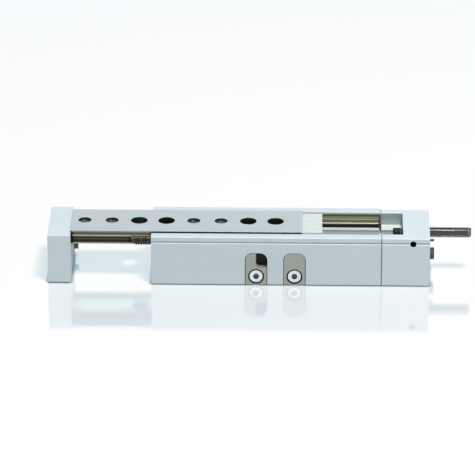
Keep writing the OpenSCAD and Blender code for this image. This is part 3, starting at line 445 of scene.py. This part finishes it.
def threadTree():
    # a helical ridge along Z from 0, of 60 degree thread form
    tree, given, end = newTree("threadRidge", {
        "Float": ("Turns", "Root Radius", "Pitch", "Depth"), "Int": ("Facets",)})
    height = addNode(tree, "ShaderNodeMath", {"operation": "MULTIPLY"}, {0: given["Turns"], 1: given["Pitch"]})
    helix = addNode(tree, "GeometryNodeCurveSpiral", sockets={
        "Resolution": given["Facets"], "Rotations": given["Turns"], "Start Radius": given["Root Radius"],
        "End Radius": given["Root Radius"], "Height": height})
    level = addNode(tree, "GeometryNodeSetCurveNormal", {"mode": "Z_UP"}, {"Curve": helix})
    # a ridge nearly as wide as the pitch at its root, with a narrow flat crest
    root = addNode(tree, "ShaderNodeMath", {"operation": "MULTIPLY"}, {0: given["Pitch"], 1: 0.86})
    crest = addNode(tree, "ShaderNodeMath", {"operation": "MULTIPLY"}, {0: given["Pitch"], 1: 0.14})
    form = addNode(tree, "GeometryNodeCurvePrimitiveQuadrilateral", trapezoid, {
        "Bottom Width": root, "Top Width": crest, "Height": given["Depth"], "Offset": 0.0})
    half = addNode(tree, "ShaderNodeMath", {"operation": "MULTIPLY"}, {0: given["Depth"], 1: -0.5})
    lift = addNode(tree, "ShaderNodeCombineXYZ", sockets={"X": half})
    turned = addNode(tree, "GeometryNodeTransform", sockets={
        "Geometry": form, "Translation": lift, "Rotation": (0, 0, math.pi / 2)})
    ridge = addNode(tree, "GeometryNodeCurveToMesh", sockets={
        "Curve": level, "Profile Curve": turned, "Fill Caps": True})
    return closeTree(tree, ridge, given, end)


def ballCageTree():
    # flat cage in X and Y round the middle of the raceway: a strip with round holes, and a comb along its lower edge
    tree, given, end = newTree("ballCage", {
        "Float": ("Length", "Height", "Thickness", "Hole Radius", "Hole Pitch", "First Hole", "Comb Length",
                  "Comb Middle", "Root Height", "Band Height", "Comb Thickness", "Comb Lift", "Tooth Pitch",
                  "First Tooth", "Tooth Height", "Tooth Tip", "Tooth Root", "Tooth Middle"),
        "Int": ("Hole Count", "Tooth Count")})
    strip = addNode(tree, "GeometryNodeMeshCube", sockets={
        "Size": addNode(tree, "ShaderNodeCombineXYZ", sockets={
            "X": given["Length"], "Y": given["Height"], "Z": given["Thickness"]})})
    deep = addNode(tree, "ShaderNodeMath", {"operation": "MULTIPLY"}, {0: given["Thickness"], 1: 3.0})
    punch = addNode(tree, "GeometryNodeMeshCylinder", sockets={
        "Vertices": 32, "Radius": given["Hole Radius"], "Depth": deep})
    holeLine = addNode(tree, "GeometryNodeMeshLine", offsetLine, {
        "Count": given["Hole Count"],
        "Start Location": addNode(tree, "ShaderNodeCombineXYZ", sockets={"X": given["First Hole"]}),
        "Offset": addNode(tree, "ShaderNodeCombineXYZ", sockets={"X": given["Hole Pitch"]})})
    punches = addNode(tree, "GeometryNodeInstanceOnPoints", sockets={"Points": holeLine, "Instance": punch})
    band = addNode(tree, "GeometryNodeMeshCube", sockets={
        "Size": addNode(tree, "ShaderNodeCombineXYZ", sockets={
            "X": given["Comb Length"], "Y": given["Band Height"], "Z": given["Comb Thickness"]})})
    bandSet = addNode(tree, "GeometryNodeTransform", sockets={
        "Geometry": band,
        "Translation": addNode(tree, "ShaderNodeCombineXYZ", sockets={
            "X": given["Comb Middle"], "Y": given["Root Height"], "Z": given["Comb Lift"]})})
    both = addNode(tree, "GeometryNodeMeshBoolean", joined, {"Mesh 2": strip})
    tree.links.new(bandSet.outputs[0], both.inputs["Mesh 2"])
    realPunches = addNode(tree, "GeometryNodeRealizeInstances", sockets={"Geometry": punches})
    plate = addNode(tree, "GeometryNodeMeshBoolean", cutAway, {
        "Mesh 1": both, "Mesh 2": realPunches})
    form = addNode(tree, "GeometryNodeCurvePrimitiveQuadrilateral", trapezoid, {
        "Bottom Width": given["Tooth Tip"], "Top Width": given["Tooth Root"],
        "Height": given["Tooth Height"], "Offset": 0.0})
    path = addNode(tree, "GeometryNodeCurvePrimitiveLine", sockets={
        "Start": addNode(tree, "ShaderNodeCombineXYZ"),
        "End": addNode(tree, "ShaderNodeCombineXYZ", sockets={"Z": given["Comb Thickness"]})})
    tooth = addNode(tree, "GeometryNodeCurveToMesh", sockets={
        "Curve": path, "Profile Curve": form, "Fill Caps": True})
    toothLow = addNode(tree, "ShaderNodeMath", {"operation": "MULTIPLY_ADD"}, {
        0: given["Comb Thickness"], 1: -0.5, 2: given["Comb Lift"]})
    toothLine = addNode(tree, "GeometryNodeMeshLine", offsetLine, {
        "Count": given["Tooth Count"],
        "Start Location": addNode(tree, "ShaderNodeCombineXYZ", sockets={
            "X": given["First Tooth"], "Y": given["Tooth Middle"], "Z": toothLow}),
        "Offset": addNode(tree, "ShaderNodeCombineXYZ", sockets={"X": given["Tooth Pitch"]})})
    teeth = addNode(tree, "GeometryNodeInstanceOnPoints", sockets={"Points": toothLine, "Instance": tooth})
    whole = addNode(tree, "GeometryNodeJoinGeometry", sockets={0: plate})
    tree.links.new(teeth.outputs[0], whole.inputs[0])
    return closeTree(tree, whole, given, end)


def ballRowTree():
    # row of balls along X
    tree, given, end = newTree("ballRow", {"Int": ("Count",), "Float": ("Pitch", "Radius")})
    line = addNode(tree, "GeometryNodeMeshLine", offsetLine, {
        "Count": given["Count"], "Offset": addNode(tree, "ShaderNodeCombineXYZ", sockets={"X": given["Pitch"]})})
    ball = addNode(tree, "GeometryNodeMeshUVSphere", sockets={"Segments": 32, "Rings": 16, "Radius": given["Radius"]})
    row = addNode(tree, "GeometryNodeInstanceOnPoints", sockets={"Points": line, "Instance": ball})
    return closeTree(tree, row, given, end)


capScrews = capScrewTree()
threadRidge = threadTree()
ballCage = ballCageTree()
ballRow = ballRowTree()
print("trees ready")


# housing and head cover: clear anodised skin over a milled channel; joints, pocket edges and slots show as dark lines
# of painted shade, and the channel's bed and walls carry painted light and shade
housing = {
    "edgeMm": 0.12, "clamped": False, "rimZ": 28.3, "bedZ": 21.25, "footZ": 18.0, "sideY": -20.6,
    "reliefHalf": 7.0, "bedHalf": 10.2, "channelHalf": 15.25, "seamX": 62.75, "mouthX": 61.9, "inset": 0.2,
    "skinMm": 0.6}
lip = {"outMm": 0.1, "halfMm": 0.12, "deepMm": 0.25}  # the housing's edge beside the table
pockets = {"firstX": -5.5, "pitch": 21.0, "half": 6.6, "topZ": 17.0, "flat": 0.97}
flat, mostly = 0.99, 0.7  # the part of a normal along an axis for a flat face, and for one that faces that way
near = 0.05  # how far off a level, in millimetres, a face may lie and still belong to it


def atPocket(x):
    # how far x is from the middle of the nearer pocket
    return min(abs(x - pockets["firstX"]), abs(x - pockets["firstX"] - pockets["pitch"]))


def slants(part, most=flat):
    # true for the narrow faces of an edge round, by the part of their normal along one axis
    return 0.1 < abs(part) < most


def channelFinish(face):
    # skin outside; in the channel a pale bed, the floor of its relief darker with painted shade, and slots dark with
    # painted shade
    x, y, z = (v / mm for v in face.center)
    tilt, out = face.normal, abs(y)
    underRim = housing["rimZ"] - z
    overBed = z - housing["bedZ"]
    if x > housing["seamX"] and slants(tilt.x):
        return boreShade  # painted shade on the joint with the head cover
    inPocket = z < pockets["topZ"] and atPocket(x) < pockets["half"]
    if y < housing["sideY"] and inPocket and abs(tilt.y) < pockets["flat"]:
        return boreShade  # painted shade on the edges of the pockets
    onLip = abs(y + housing["channelHalf"] + lip["outMm"]) < lip["halfMm"] and underRim < lip["deepMm"]
    if onLip and abs(tilt.y) < flat:
        return slotShade  # painted shade on the edge beside the table
    if x > housing["mouthX"] and out < housing["channelHalf"] and min(overBed, underRim) > housing["inset"]:
        return slotShade  # painted shade where the channel meets the head cover
    outside = underRim < housing["skinMm"] or z < housing["footZ"] or out > housing["channelHalf"]
    if outside or abs(tilt.x) > mostly:
        return clearAnodised
    # painted shade in the slots beside the bed
    if out > housing["bedHalf"] - near and overBed < 2 * near:
        return slotShade
    return shadedReliefFloor if out < housing["reliefHalf"] + near and overBed < -near else clearAnodised


head = {"edgeMm": 0.12, "clamped": False, "seamX": 63.4, "wallX": 75.1, "footZ": 20.0, "reliefMm": 0.2}
lockHole = {"x": 80.3, "z": 25.1, "half": 1.8, "fromY": -4.0, "flat": 0.5}


def headFinish(face):
    # skin outside; inside its part of the channel a bed made pale with painted light, and the relief and walls darker
    # with painted shade
    x, y, z = (v / mm for v in face.center)
    tilt = face.normal
    if x < head["seamX"] and slants(tilt.x):
        return blackOxideAndShade  # painted shade on the joint with the housing
    inHole = abs(x - lockHole["x"]) < lockHole["half"] and abs(z - lockHole["z"]) < lockHole["half"]
    if inHole and y < lockHole["fromY"] and abs(tilt.y) < lockHole["flat"]:
        return blackOxideAndShade  # painted shade in the hole of the set screw
    level = head["footZ"] <= z <= housing["rimZ"] - housing["skinMm"]
    if not level or abs(y) > housing["channelHalf"] + near or x > head["wallX"]:
        return clearMilled
    if tilt.z > mostly:
        return shadedReliefFloor if z < housing["bedZ"] - head["reliefMm"] else litChannelBed
    return shadedChannelWall


dress("housing", housing, clearAnodised, slotShade, shadedReliefFloor, boreShade, pick=channelFinish)
dress("head_cover", head, clearMilled, litChannelBed, shadedReliefFloor, shadedChannelWall, blackOxideAndShade, pick=headFinish)

# rails: hardened steel whose ground lands and raceway lie in bands at fixed heights; over a straw tint the near white
# bands are painted highlights and the dark ones painted shade of the raceway
rails = {
    "edgeMm": 0.06, "metallic": 0.5, "roughness": 0.36, "streakMm": 0.25, "streaks": 0.6, "streakColour": "b8b29c",
    "top": "a4aaa6", "fromMm": 20.0, "toMm": 28.4,
    # bands: painted highlight and painted shade of the raceway, by height
    "bands": [(20.6, "45443a"), (21.3, "8a866c"), (21.9, "8e8c7a"), (22.5, "5e5a46"), (23.0, "a8a27e"),
              (23.7, "fff4c0"), (24.1, "8c8664"), (24.5, "fff8d0"), (25.1, "fff8d0"), (25.3, "7c7756"),
              (26.0, "c4bf9e"), (26.6, "7c7862"), (27.3, "625f4e"), (27.9, "8e9088")]}
railSteel = bandedSteel("hardenedRailSteelBandsAndPaintedLight", rails)
for rail in ("guide_rail_front", "guide_rail_rear"):
    dress(rail, rails, railSteel)

# side plates, port plug and throttle needle
sidePlates = {"edgeMm": 0.12, "clamped": False, "boreZ": 5.1, "boreR": 4.4, "floorY": -19.0, "wall": 0.5}


def plateFinish(face):
    # painted shade: dark edges, where the plate meets its pocket, and dark counterbores round the screws
    x, y, z = (v / mm for v in face.center)
    inside = math.hypot(atPocket(x), z - sidePlates["boreZ"]) < sidePlates["boreR"]
    inBore = inside and (abs(face.normal.y) < sidePlates["wall"] or y > sidePlates["floorY"])
    return boreShade if inBore or slants(face.normal.y, pockets["flat"]) else plateZinc


for plate in ("side_plate_left", "side_plate_right"):
    dress(plate, sidePlates, plateZinc, boreShade, pick=plateFinish)

plug = {"edgeMm": 0.15}
dress("port_plug", plug, plugSteel)
needle = {"edgeMm": 0.15}
dress("throttle_needle", needle, needleSteel)

# nodes whose CAD shape is right: only the finish changes
plainNodes = {
    "head_gasket": nitrile, "side_plate_gaskets": nitrile, "port_plug_washer": nitrile, "tunnel_cap": blackAcetal,
    "rod_gland": turnedBrass, "rod_seal": nitrile, "gland_o_ring": nitrile, "gland_retaining_ring": springSteel,
    "adjuster_lock_pad": turnedBrass, "adjuster_lock_screw": blackOxideAndShade, "adjuster_tip": polyurethane,
    "end_plate_stop": nickelPlated, "driver_block": turnedAluminium, "driver_screws": zincPlated,
    "rod_nut": zincPlated, "piston_rod": hardChrome, "piston": turnedAluminium, "piston_seals": nitrile,
    "piston_bumpers": nitrile, "piston_nut": zincPlated}
for node, material in plainNodes.items():
    mesh = nodes[node].data
    mesh.materials.clear()
    mesh.materials.append(material)
print("housing dressed")


# table: ground steel on top, hardened legs with ground lands and bands of painted shade under the flange, and the
# inside of its holes darkened with painted shade
table = {
    "edgeMm": 0.03, "topMm": 0.4, "topTilt": 0.8, "flangeMm": 0.95, "legY": 10.5, "sideY": 14.0, "sideTilt": 0.1,
    "endMm": 1.0}
tableHoles = {"first": 7.2, "pitch": 15.0, "threaded": (0, 1, 4, 5), "boreR": 2.6, "rowHalf": 6.0}
topLook = {"base": "d9e7eb", "shade": "cfdce0", "roughness": 0.36, "lineMm": 0.25}
legLook = {
    "metallic": 0.8, "roughness": 0.4, "streakMm": 0.3, "streaks": 0.5, "streakColour": "aaa48e",
    "fromMm": 20.0, "toMm": 29.2,
    # bands: the dark ones are painted shade under the flange, the light lands partly painted light
    "bands": [(20.4, "b0b3a8"), (21.3, "c4c8b8"), (21.6, "4a4a3e"), (22.6, "565446"), (23.2, "7c7a68"),
              (23.8, "4c4a3e"), (24.7, "64624e"), (24.95, "84826c"), (25.1, "d6d8c8"), (25.7, "b6b8a8"),
              (26.1, "6a6854"), (26.9, "74715a"), (27.5, "c0c4b8"), (28.3, "9aa09a"), (28.9, "8a8f8a")],
    # painted shade in the gap beside the housing's rim
    "nookShade": "0c0e10", "nookShadeMm": 2.0, "nookShadeFrom": 0.92, "nookShadeFull": 0.74}
# painted shade: inside the holes a dark brown, darker towards the bottom
holeLook = {
    "metallic": 0.6, "roughness": 0.45, "streakMm": 0.4, "streaks": 0.5, "streakColour": "8a6a58",
    "fromMm": 22.0, "toMm": 29.2, "bands": [(22.3, "241e1d"), (27.0, "332a28"), (29.1, "4c4644")]}
groundTable = groundSteel("stainlessSteelGround", topLook)
legSteel = bandedSteel("hardenedTableSteelLandsAndPaintedShade", legLook)
holeSteel = bandedSteel("steelInHolesPaintedShade", holeLook)
tableLow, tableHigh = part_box("table")


def tableFinish(face):
    # which of the table's three finishes a face takes
    x, y, z = face.center
    tilt, out = face.normal, abs(y) / mm
    under = (tableHigh.z - z) / mm
    if tilt.z > table["topTilt"] and under < table["topMm"]:
        return groundTable
    if under > table["flangeMm"] and out > table["legY"]:
        return legSteel
    if out > table["sideY"] and abs(tilt.y) > table["sideTilt"]:
        return legSteel  # the side and its chamfer
    if out < tableHoles["rowHalf"] and min(x - tableLow.x, tableHigh.x - x) > table["endMm"] * mm:
        alongRow = (x - tableLow.x) / mm - tableHoles["first"]
        hole = round(alongRow / tableHoles["pitch"])
        away = math.hypot(alongRow - hole * tableHoles["pitch"], y / mm)
        threaded = hole in tableHoles["threaded"] and away < tableHoles["boreR"]
        return groundTable if threaded or tilt.z > mostly else holeSteel
    return groundTable


dress("table", table, groundTable, legSteel, holeSteel, pick=tableFinish)
endPlate = {"edgeMm": 0.2}
dress("end_plate", endPlate, clearMilled)
endCap = {"edgeMm": 0.15}
dress("table_end_cap", endCap, whiteAcetal)
print("table dressed")


# screws: head and socket sizes of ISO 4762 cap screws, M2.5 to M4, drawn with their real hexagon keys
m4Screw = {"headD": 7.2, "headT": 2.6, "socket": 3.0, "depth": 1.6, "shankD": 4.0}
m3Screw = {"headD": 5.5, "headT": 3.0, "socket": 2.5, "depth": 1.6, "shankD": 3.0}
smallScrew = {"headD": 4.5, "headT": 2.5, "socket": 2.0, "depth": 1.6, "shankD": 2.5}
screws = {
    "side_plate_screws": {**m4Screw, "across": 2, "along": 1, "faces": "-Y"},
    "head_cover_screws": {**m3Screw, "across": 2, "along": 2, "faces": "+X"},
    "end_plate_screws": {**m3Screw, "across": 1, "along": 2, "faces": "-X"},
    "end_cap_screws": {**smallScrew, "across": 1, "along": 2, "faces": "+X"}}
# edge rounds, clearance at the shanks' far ends, and the space that counts as a socket's inside
screwTrim = {"edgeMm": 0.12, "shortMm": 0.2, "wallShare": 0.99, "floorShare": 1.1, "mouthMm": 0.05}


def keyRadius(across):
    # corner radius of a hexagon that measures across over its flats
    return across * mm / 2 / math.cos(math.pi / 6)


def inRow(count, span):
    # places of count screws, a span apart, round 0
    return [(i - (count - 1) / 2) * span for i in range(count)]


for node, screw in screws.items():
    low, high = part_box(node)
    middle, size = (low + high) / 2, high - low
    if screw["faces"] == "-Y":  # across runs along X, along runs along Z
        turn = Matrix.Rotation(math.pi / 2, 4, "X")
        place, length, spans = Vector((middle.x, low.y, middle.z)), size.y, (size.x, size.z)
    else:  # across runs along Z, along runs along Y
        rear = screw["faces"] == "+X"
        turn = Matrix.Rotation(math.pi / 2 if rear else -math.pi / 2, 4, "Y")
        place = Vector((high.x if rear else low.x, middle.y, middle.z))
        length, spans = size.x, (size.z, size.y)
    headD, headT = screw["headD"] * mm, screw["headT"] * mm
    width, height = (span - headD for span in spans)
    socketR = keyRadius(screw["socket"])
    mesh = grow(capScrews, {
        "Head Radius": headD / 2, "Head Height": headT, "Socket Radius": socketR,
        "Socket Depth": screw["depth"] * mm, "Shank Radius": screw["shankD"] * mm / 2,
        "Shank Length": length - headT - screwTrim["shortMm"] * mm, "Across": screw["across"], "Along": screw["along"],
        "Width": width, "Length": height, "Material": zincPlated}, screwTrim["edgeMm"])
    columns, rows = inRow(screw["across"], width), inRow(screw["along"], height)

    def socketFinish(face):
        # painted shade: the key's flats are drawn dark beside the bright head
        x, y, z = face.center
        away = min(math.hypot(x - u, y - v) for u in columns for v in rows)
        inDepth = screwTrim["mouthMm"] * mm < -z < screwTrim["floorShare"] * screw["depth"] * mm
        return shadedSocket if inDepth and away < socketR * screwTrim["wallShare"] else zincPlated

    chosen = [socketFinish(face) for face in mesh.polygons]  # before the screws leave their own frame
    mesh.transform(Matrix.Translation(place) @ turn)
    addPiece(node + "Socketed", mesh, nodes[node]["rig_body"], [zincPlated, shadedSocket], node,
             pick=lambda face: chosen[face.index])
print("screws grown")


# ball cages: stamped spring steel, lighter above and near black towards the comb with painted shade of the raceway
# groove; the comb carries them along the rails
cages = {
    "holeMargin": 3.4, "ballPitch": 4.2, "holeD": 2.5, "plateH": 3.4, "combT": 0.3, "combStart": 2.3, "toothPitch": 1.4,
    "toothH": 1.0, "tipShare": 0.35, "rootShare": 0.8, "overlap": 0.4, "toothOverlap": 0.05}
cageLook = {
    "metallic": 0.3, "roughness": 0.5, "streakMm": 0.4, "streaks": 0.5, "streakColour": "a8a490",
    "fromMm": 20.0, "toMm": 28.4,
    # bands: lighter above, painted shade darkening towards the comb
    "bands": [(20.1, "0c0d0c"), (21.4, "141412"), (21.6, "5c5c54"), (22.0, "3c3b33"), (24.0, "4c4b40"),
              (24.3, "7c7c70"), (24.8, "9c9e90")]}
cageSteel = bandedSteel("stampedSpringSteelDark", cageLook)
firstX, pitchX, combX = cages["holeMargin"] * mm, cages["ballPitch"] * mm, cages["combStart"] * mm
toothX, toothZ, plateZ = cages["toothPitch"] * mm, cages["toothH"] * mm, cages["plateH"] * mm
combT = cages["combT"] * mm
for side, body in (("Front", "cage_front"), ("Rear", "cage_rear")):
    low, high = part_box("ball_cage_" + side.lower())
    ballLow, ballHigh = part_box("balls_" + side.lower())
    middle = (low + high) / 2
    race = (ballLow + ballHigh) / 2
    length, thick = high.x - low.x, high.y - low.y
    holes = round((length / mm - 2 * cages["holeMargin"]) / cages["ballPitch"]) + 1
    teeth = int((length / mm - cages["combStart"]) / cages["toothPitch"])
    rootZ = low.z + toothZ
    bandH = race.z - plateZ / 2 + cages["overlap"] * mm - rootZ
    combLength = length - combX
    rootW = cages["rootShare"] * toothX
    cage = grow(ballCage, {
        "Length": length, "Height": plateZ, "Thickness": thick,
        "Hole Radius": cages["holeD"] * mm / 2, "Hole Count": holes, "Hole Pitch": pitchX,
        "First Hole": firstX - length / 2, "Comb Length": combLength, "Comb Middle": (length - combLength) / 2,
        "Root Height": rootZ + bandH / 2 - race.z, "Band Height": bandH,
        "Comb Thickness": combT, "Comb Lift": (thick - combT) / 2,
        "Tooth Count": teeth, "Tooth Pitch": toothX, "First Tooth": combX + rootW / 2 - length / 2,
        "Tooth Height": toothZ + cages["toothOverlap"] * mm, "Tooth Tip": cages["tipShare"] * toothX,
        "Tooth Root": rootW, "Tooth Middle": (low.z + rootZ) / 2 + cages["toothOverlap"] * mm / 2 - race.z,
        "Material": cageSteel})
    # the sheet stands up: its face with the comb looks away from the middle plane
    stand = Matrix.Rotation(math.pi / 2, 4, "X")
    if side == "Rear":
        stand = Matrix.Scale(-1, 4, (0, 1, 0)) @ stand
    cage.transform(Matrix.Translation((middle.x, middle.y, race.z)) @ stand)
    if side == "Rear":
        cage.flip_normals()
    addPiece("ballCage" + side, cage, body, [cageSteel], "ball_cage_" + side.lower())
    balls = grow(ballRow, {
        "Count": holes, "Pitch": pitchX, "Radius": (ballHigh.z - ballLow.z) / 2, "Material": ballSteel})
    balls.transform(Matrix.Translation((low.x + firstX, race.y, race.z)))
    addPiece("balls" + side, balls, body, [ballSteel], "balls_" + side.lower())
print("ball cages grown")


# stroke adjuster: M6 screw; its 1 mm thread is drawn at its real pitch
adjuster = {
    "pitch": 1.0, "threadDepth": 0.5, "sunk": 0.03, "proud": 0.02, "plainEnd": 0.5, "stepL": 1.6, "stepIn": 0.5,
    "socket": 3.0, "socketDepth": 3.0, "facets": 40, "edgeMm": 0.3}
low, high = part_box("adjuster_bolt")
middle = (low + high) / 2
radius, length = (high.z - low.z) / 2, high.x - low.x
coreR = radius - adjuster["threadDepth"] * mm
core = grow(capScrews, {
    "Head Radius": coreR, "Head Height": length - adjuster["stepL"] * mm,
    "Socket Radius": keyRadius(adjuster["socket"]), "Socket Depth": adjuster["socketDepth"] * mm,
    "Shank Radius": coreR - adjuster["stepIn"] * mm, "Shank Length": (adjuster["stepL"] - shankSinkMm) * mm,
    "Across": 1, "Along": 1, "Width": 0.0, "Length": 0.0, "Material": nickelPlated}, adjuster["edgeMm"])
thread = grow(threadRidge, {
    "Turns": (length / mm - 2 * adjuster["plainEnd"]) / adjuster["pitch"] - 1,
    "Root Radius": coreR - adjuster["sunk"] * mm, "Pitch": adjuster["pitch"] * mm,
    "Depth": (adjuster["threadDepth"] + adjuster["proud"]) * mm, "Facets": adjuster["facets"],
    "Material": nickelPlated})
bm = bmesh.new()
for part, startX in ((core, high.x), (thread, low.x + (adjuster["plainEnd"] + adjuster["pitch"] / 2) * mm)):
    part.transform(Matrix.Translation((startX, middle.y, middle.z)) @ Matrix.Rotation(math.pi / 2, 4, "Y"))
    bm.from_mesh(part)
bolt = bpy.data.meshes.new("adjusterBolt")
bm.to_mesh(bolt)
bm.free()
bolt.set_sharp_from_angle(angle=creaseAngle)
addPiece("adjusterBoltThreaded", bolt, "adjuster_bolt", [nickelPlated], "adjuster_bolt")
print("adjuster grown")


# floor: white laminate board; its own light keeps the shadow on it pale, as on a lit table
stageLook = {
    "glow": "7fa9ba", "board": 0.27, "gloss": "a2948a", "glossRoughness": 0.1,
    "contactMm": 2.0, "contactPower": 1.5, "contactShadow": (0.05, 0.06, 0.06, 1.0), "sizeM": 6.0}
board = bpy.data.materials.new("whiteLaminateBoard")
tree = emptyTree(board)
rays = addNode(tree, "ShaderNodeLightPath")
seen = rays.outputs["Is Camera Ray"]
for kind in ("Glossy", "Transmission"):
    seen = addNode(tree, "ShaderNodeMath", {"operation": "MAXIMUM"}, {0: seen, 1: rays.outputs["Is %s Ray" % kind]})
glow = hexLinear(stageLook["glow"])
sheen = hexLinear(stageLook["gloss"])
rest = (*(1 - c - d for c, d in zip(glow[:3], sheen[:3])), 1.0)
# painted contact shadow: the board darkens close to the object
contactShadow = addNode(tree, "ShaderNodeAmbientOcclusion", {"samples": nookSamples}, {
    "Distance": stageLook["contactMm"] * mm})
dark = addNode(tree, "ShaderNodeMath", {"operation": "POWER"}, {
    0: contactShadow.outputs["AO"], 1: stageLook["contactPower"]})
own = addNode(tree, "ShaderNodeEmission", sockets={"Color": glow, "Strength": 1.0})
lit = addNode(tree, "ShaderNodeBsdfDiffuse", sockets={"Color": rest})
matt = addNode(tree, "ShaderNodeAddShader", sockets={0: own, 1: lit})
gloss = addNode(tree, "ShaderNodeBsdfAnisotropic", sockets={"Color": sheen, "Roughness": stageLook["glossRoughness"]})
clear = addNode(tree, "ShaderNodeAddShader", sockets={0: matt, 1: gloss})
shade = addNode(tree, "ShaderNodeBsdfDiffuse", sockets={"Color": stageLook["contactShadow"]})
shown = addNode(tree, "ShaderNodeMixShader", sockets={0: dark, 1: shade, 2: clear})
bounce = addNode(tree, "ShaderNodeBsdfDiffuse", sockets={"Color": (stageLook["board"],) * 3 + (1.0,)})
choose = addNode(tree, "ShaderNodeMixShader", sockets={0: seen, 1: bounce, 2: shown})
addNode(tree, "ShaderNodeOutputMaterial", sockets={"Surface": choose})
floorMesh = bpy.data.meshes.new("floor")
half = stageLook["sizeM"] / 2
floorMesh.from_pydata([(-half, -half, 0), (half, -half, 0), (half, half, 0), (-half, half, 0)], [], [(0, 1, 2, 3)])
floorMesh.materials.append(board)
floor = newObject("floor", floorMesh)

# room: white walls to 30 degrees above the horizon, a dim ceiling over them
room = {"walls": 1.0, "ceiling": 0.12, "low": 0.5, "high": 0.7, "dimmed": 0.2}
world = bpy.data.worlds.new("softRoom")
bpy.context.scene.world = world
sky = emptyTree(world)
ray = addNode(sky, "ShaderNodeSeparateXYZ", sockets={"Vector": addNode(sky, "ShaderNodeTexCoord").outputs["Generated"]})
level = addNode(sky, "ShaderNodeMapRange", {"interpolation_type": "SMOOTHSTEP"}, {
    "Value": ray.outputs["Z"], "From Min": room["low"], "From Max": room["high"],
    "To Min": room["walls"], "To Max": room["ceiling"]})
rays = addNode(sky, "ShaderNodeLightPath")
dimmed = addNode(sky, "ShaderNodeMath", {"operation": "MULTIPLY"}, {
    0: rays.outputs["Is Diffuse Ray"], 1: -room["dimmed"]})
level = addNode(sky, "ShaderNodeMath", {"operation": "MULTIPLY_ADD"}, {0: level, 1: dimmed, 2: level})
seen = addNode(sky, "ShaderNodeMath", {"operation": "MAXIMUM"}, {0: level, 1: rays.outputs["Is Camera Ray"]})
light = addNode(sky, "ShaderNodeBackground", sockets={"Color": (1, 1, 1, 1), "Strength": seen})
addNode(sky, "ShaderNodeOutputWorld", sockets={"Surface": light})

lighting = {"awayM": 1.6, "towards": (0.19, -0.31, 1.0), "widthM": 0.35, "watts": 18.5}


def aim(thing, target):
    # turns a lamp or the camera so that it looks at target
    thing.rotation_euler = (Vector(target) - thing.location).to_track_quat("-Z", "Y").to_euler()


lamp = bpy.data.lights.new("softbox", "AREA")
lamp.shape = "DISK"
lamp.size = lighting["widthM"]
lamp.energy = lighting["watts"]
softbox = newObject("softbox", lamp)
softbox.location = Vector(lighting["towards"]).normalized() * lighting["awayM"]
aim(softbox, (0, 0, 0))

view = {
    "azimuth": -1.103, "elevation": 23.946, "distance": 2172.6, "lookAt": (-16.07, 0, 19.13),
    "lens": 298.6, "sensor": 36, "clipEndM": 20}
turn, rise = math.radians(view["azimuth"]), math.radians(view["elevation"])
sight = Vector((math.sin(turn) * math.cos(rise), math.cos(turn) * math.cos(rise), -math.sin(rise)))
target = Vector(view["lookAt"]) * mm
cameraData = bpy.data.cameras.new("camera")
cameraData.lens = view["lens"]
cameraData.sensor_width = view["sensor"]
cameraData.clip_end = view["clipEndM"]
camera = newObject("camera", cameraData)
camera.location = target - sight * view["distance"] * mm
aim(camera, target)
bpy.context.scene.camera = camera
bpy.context.scene.view_settings.view_transform = "Standard"
print("stage ready")
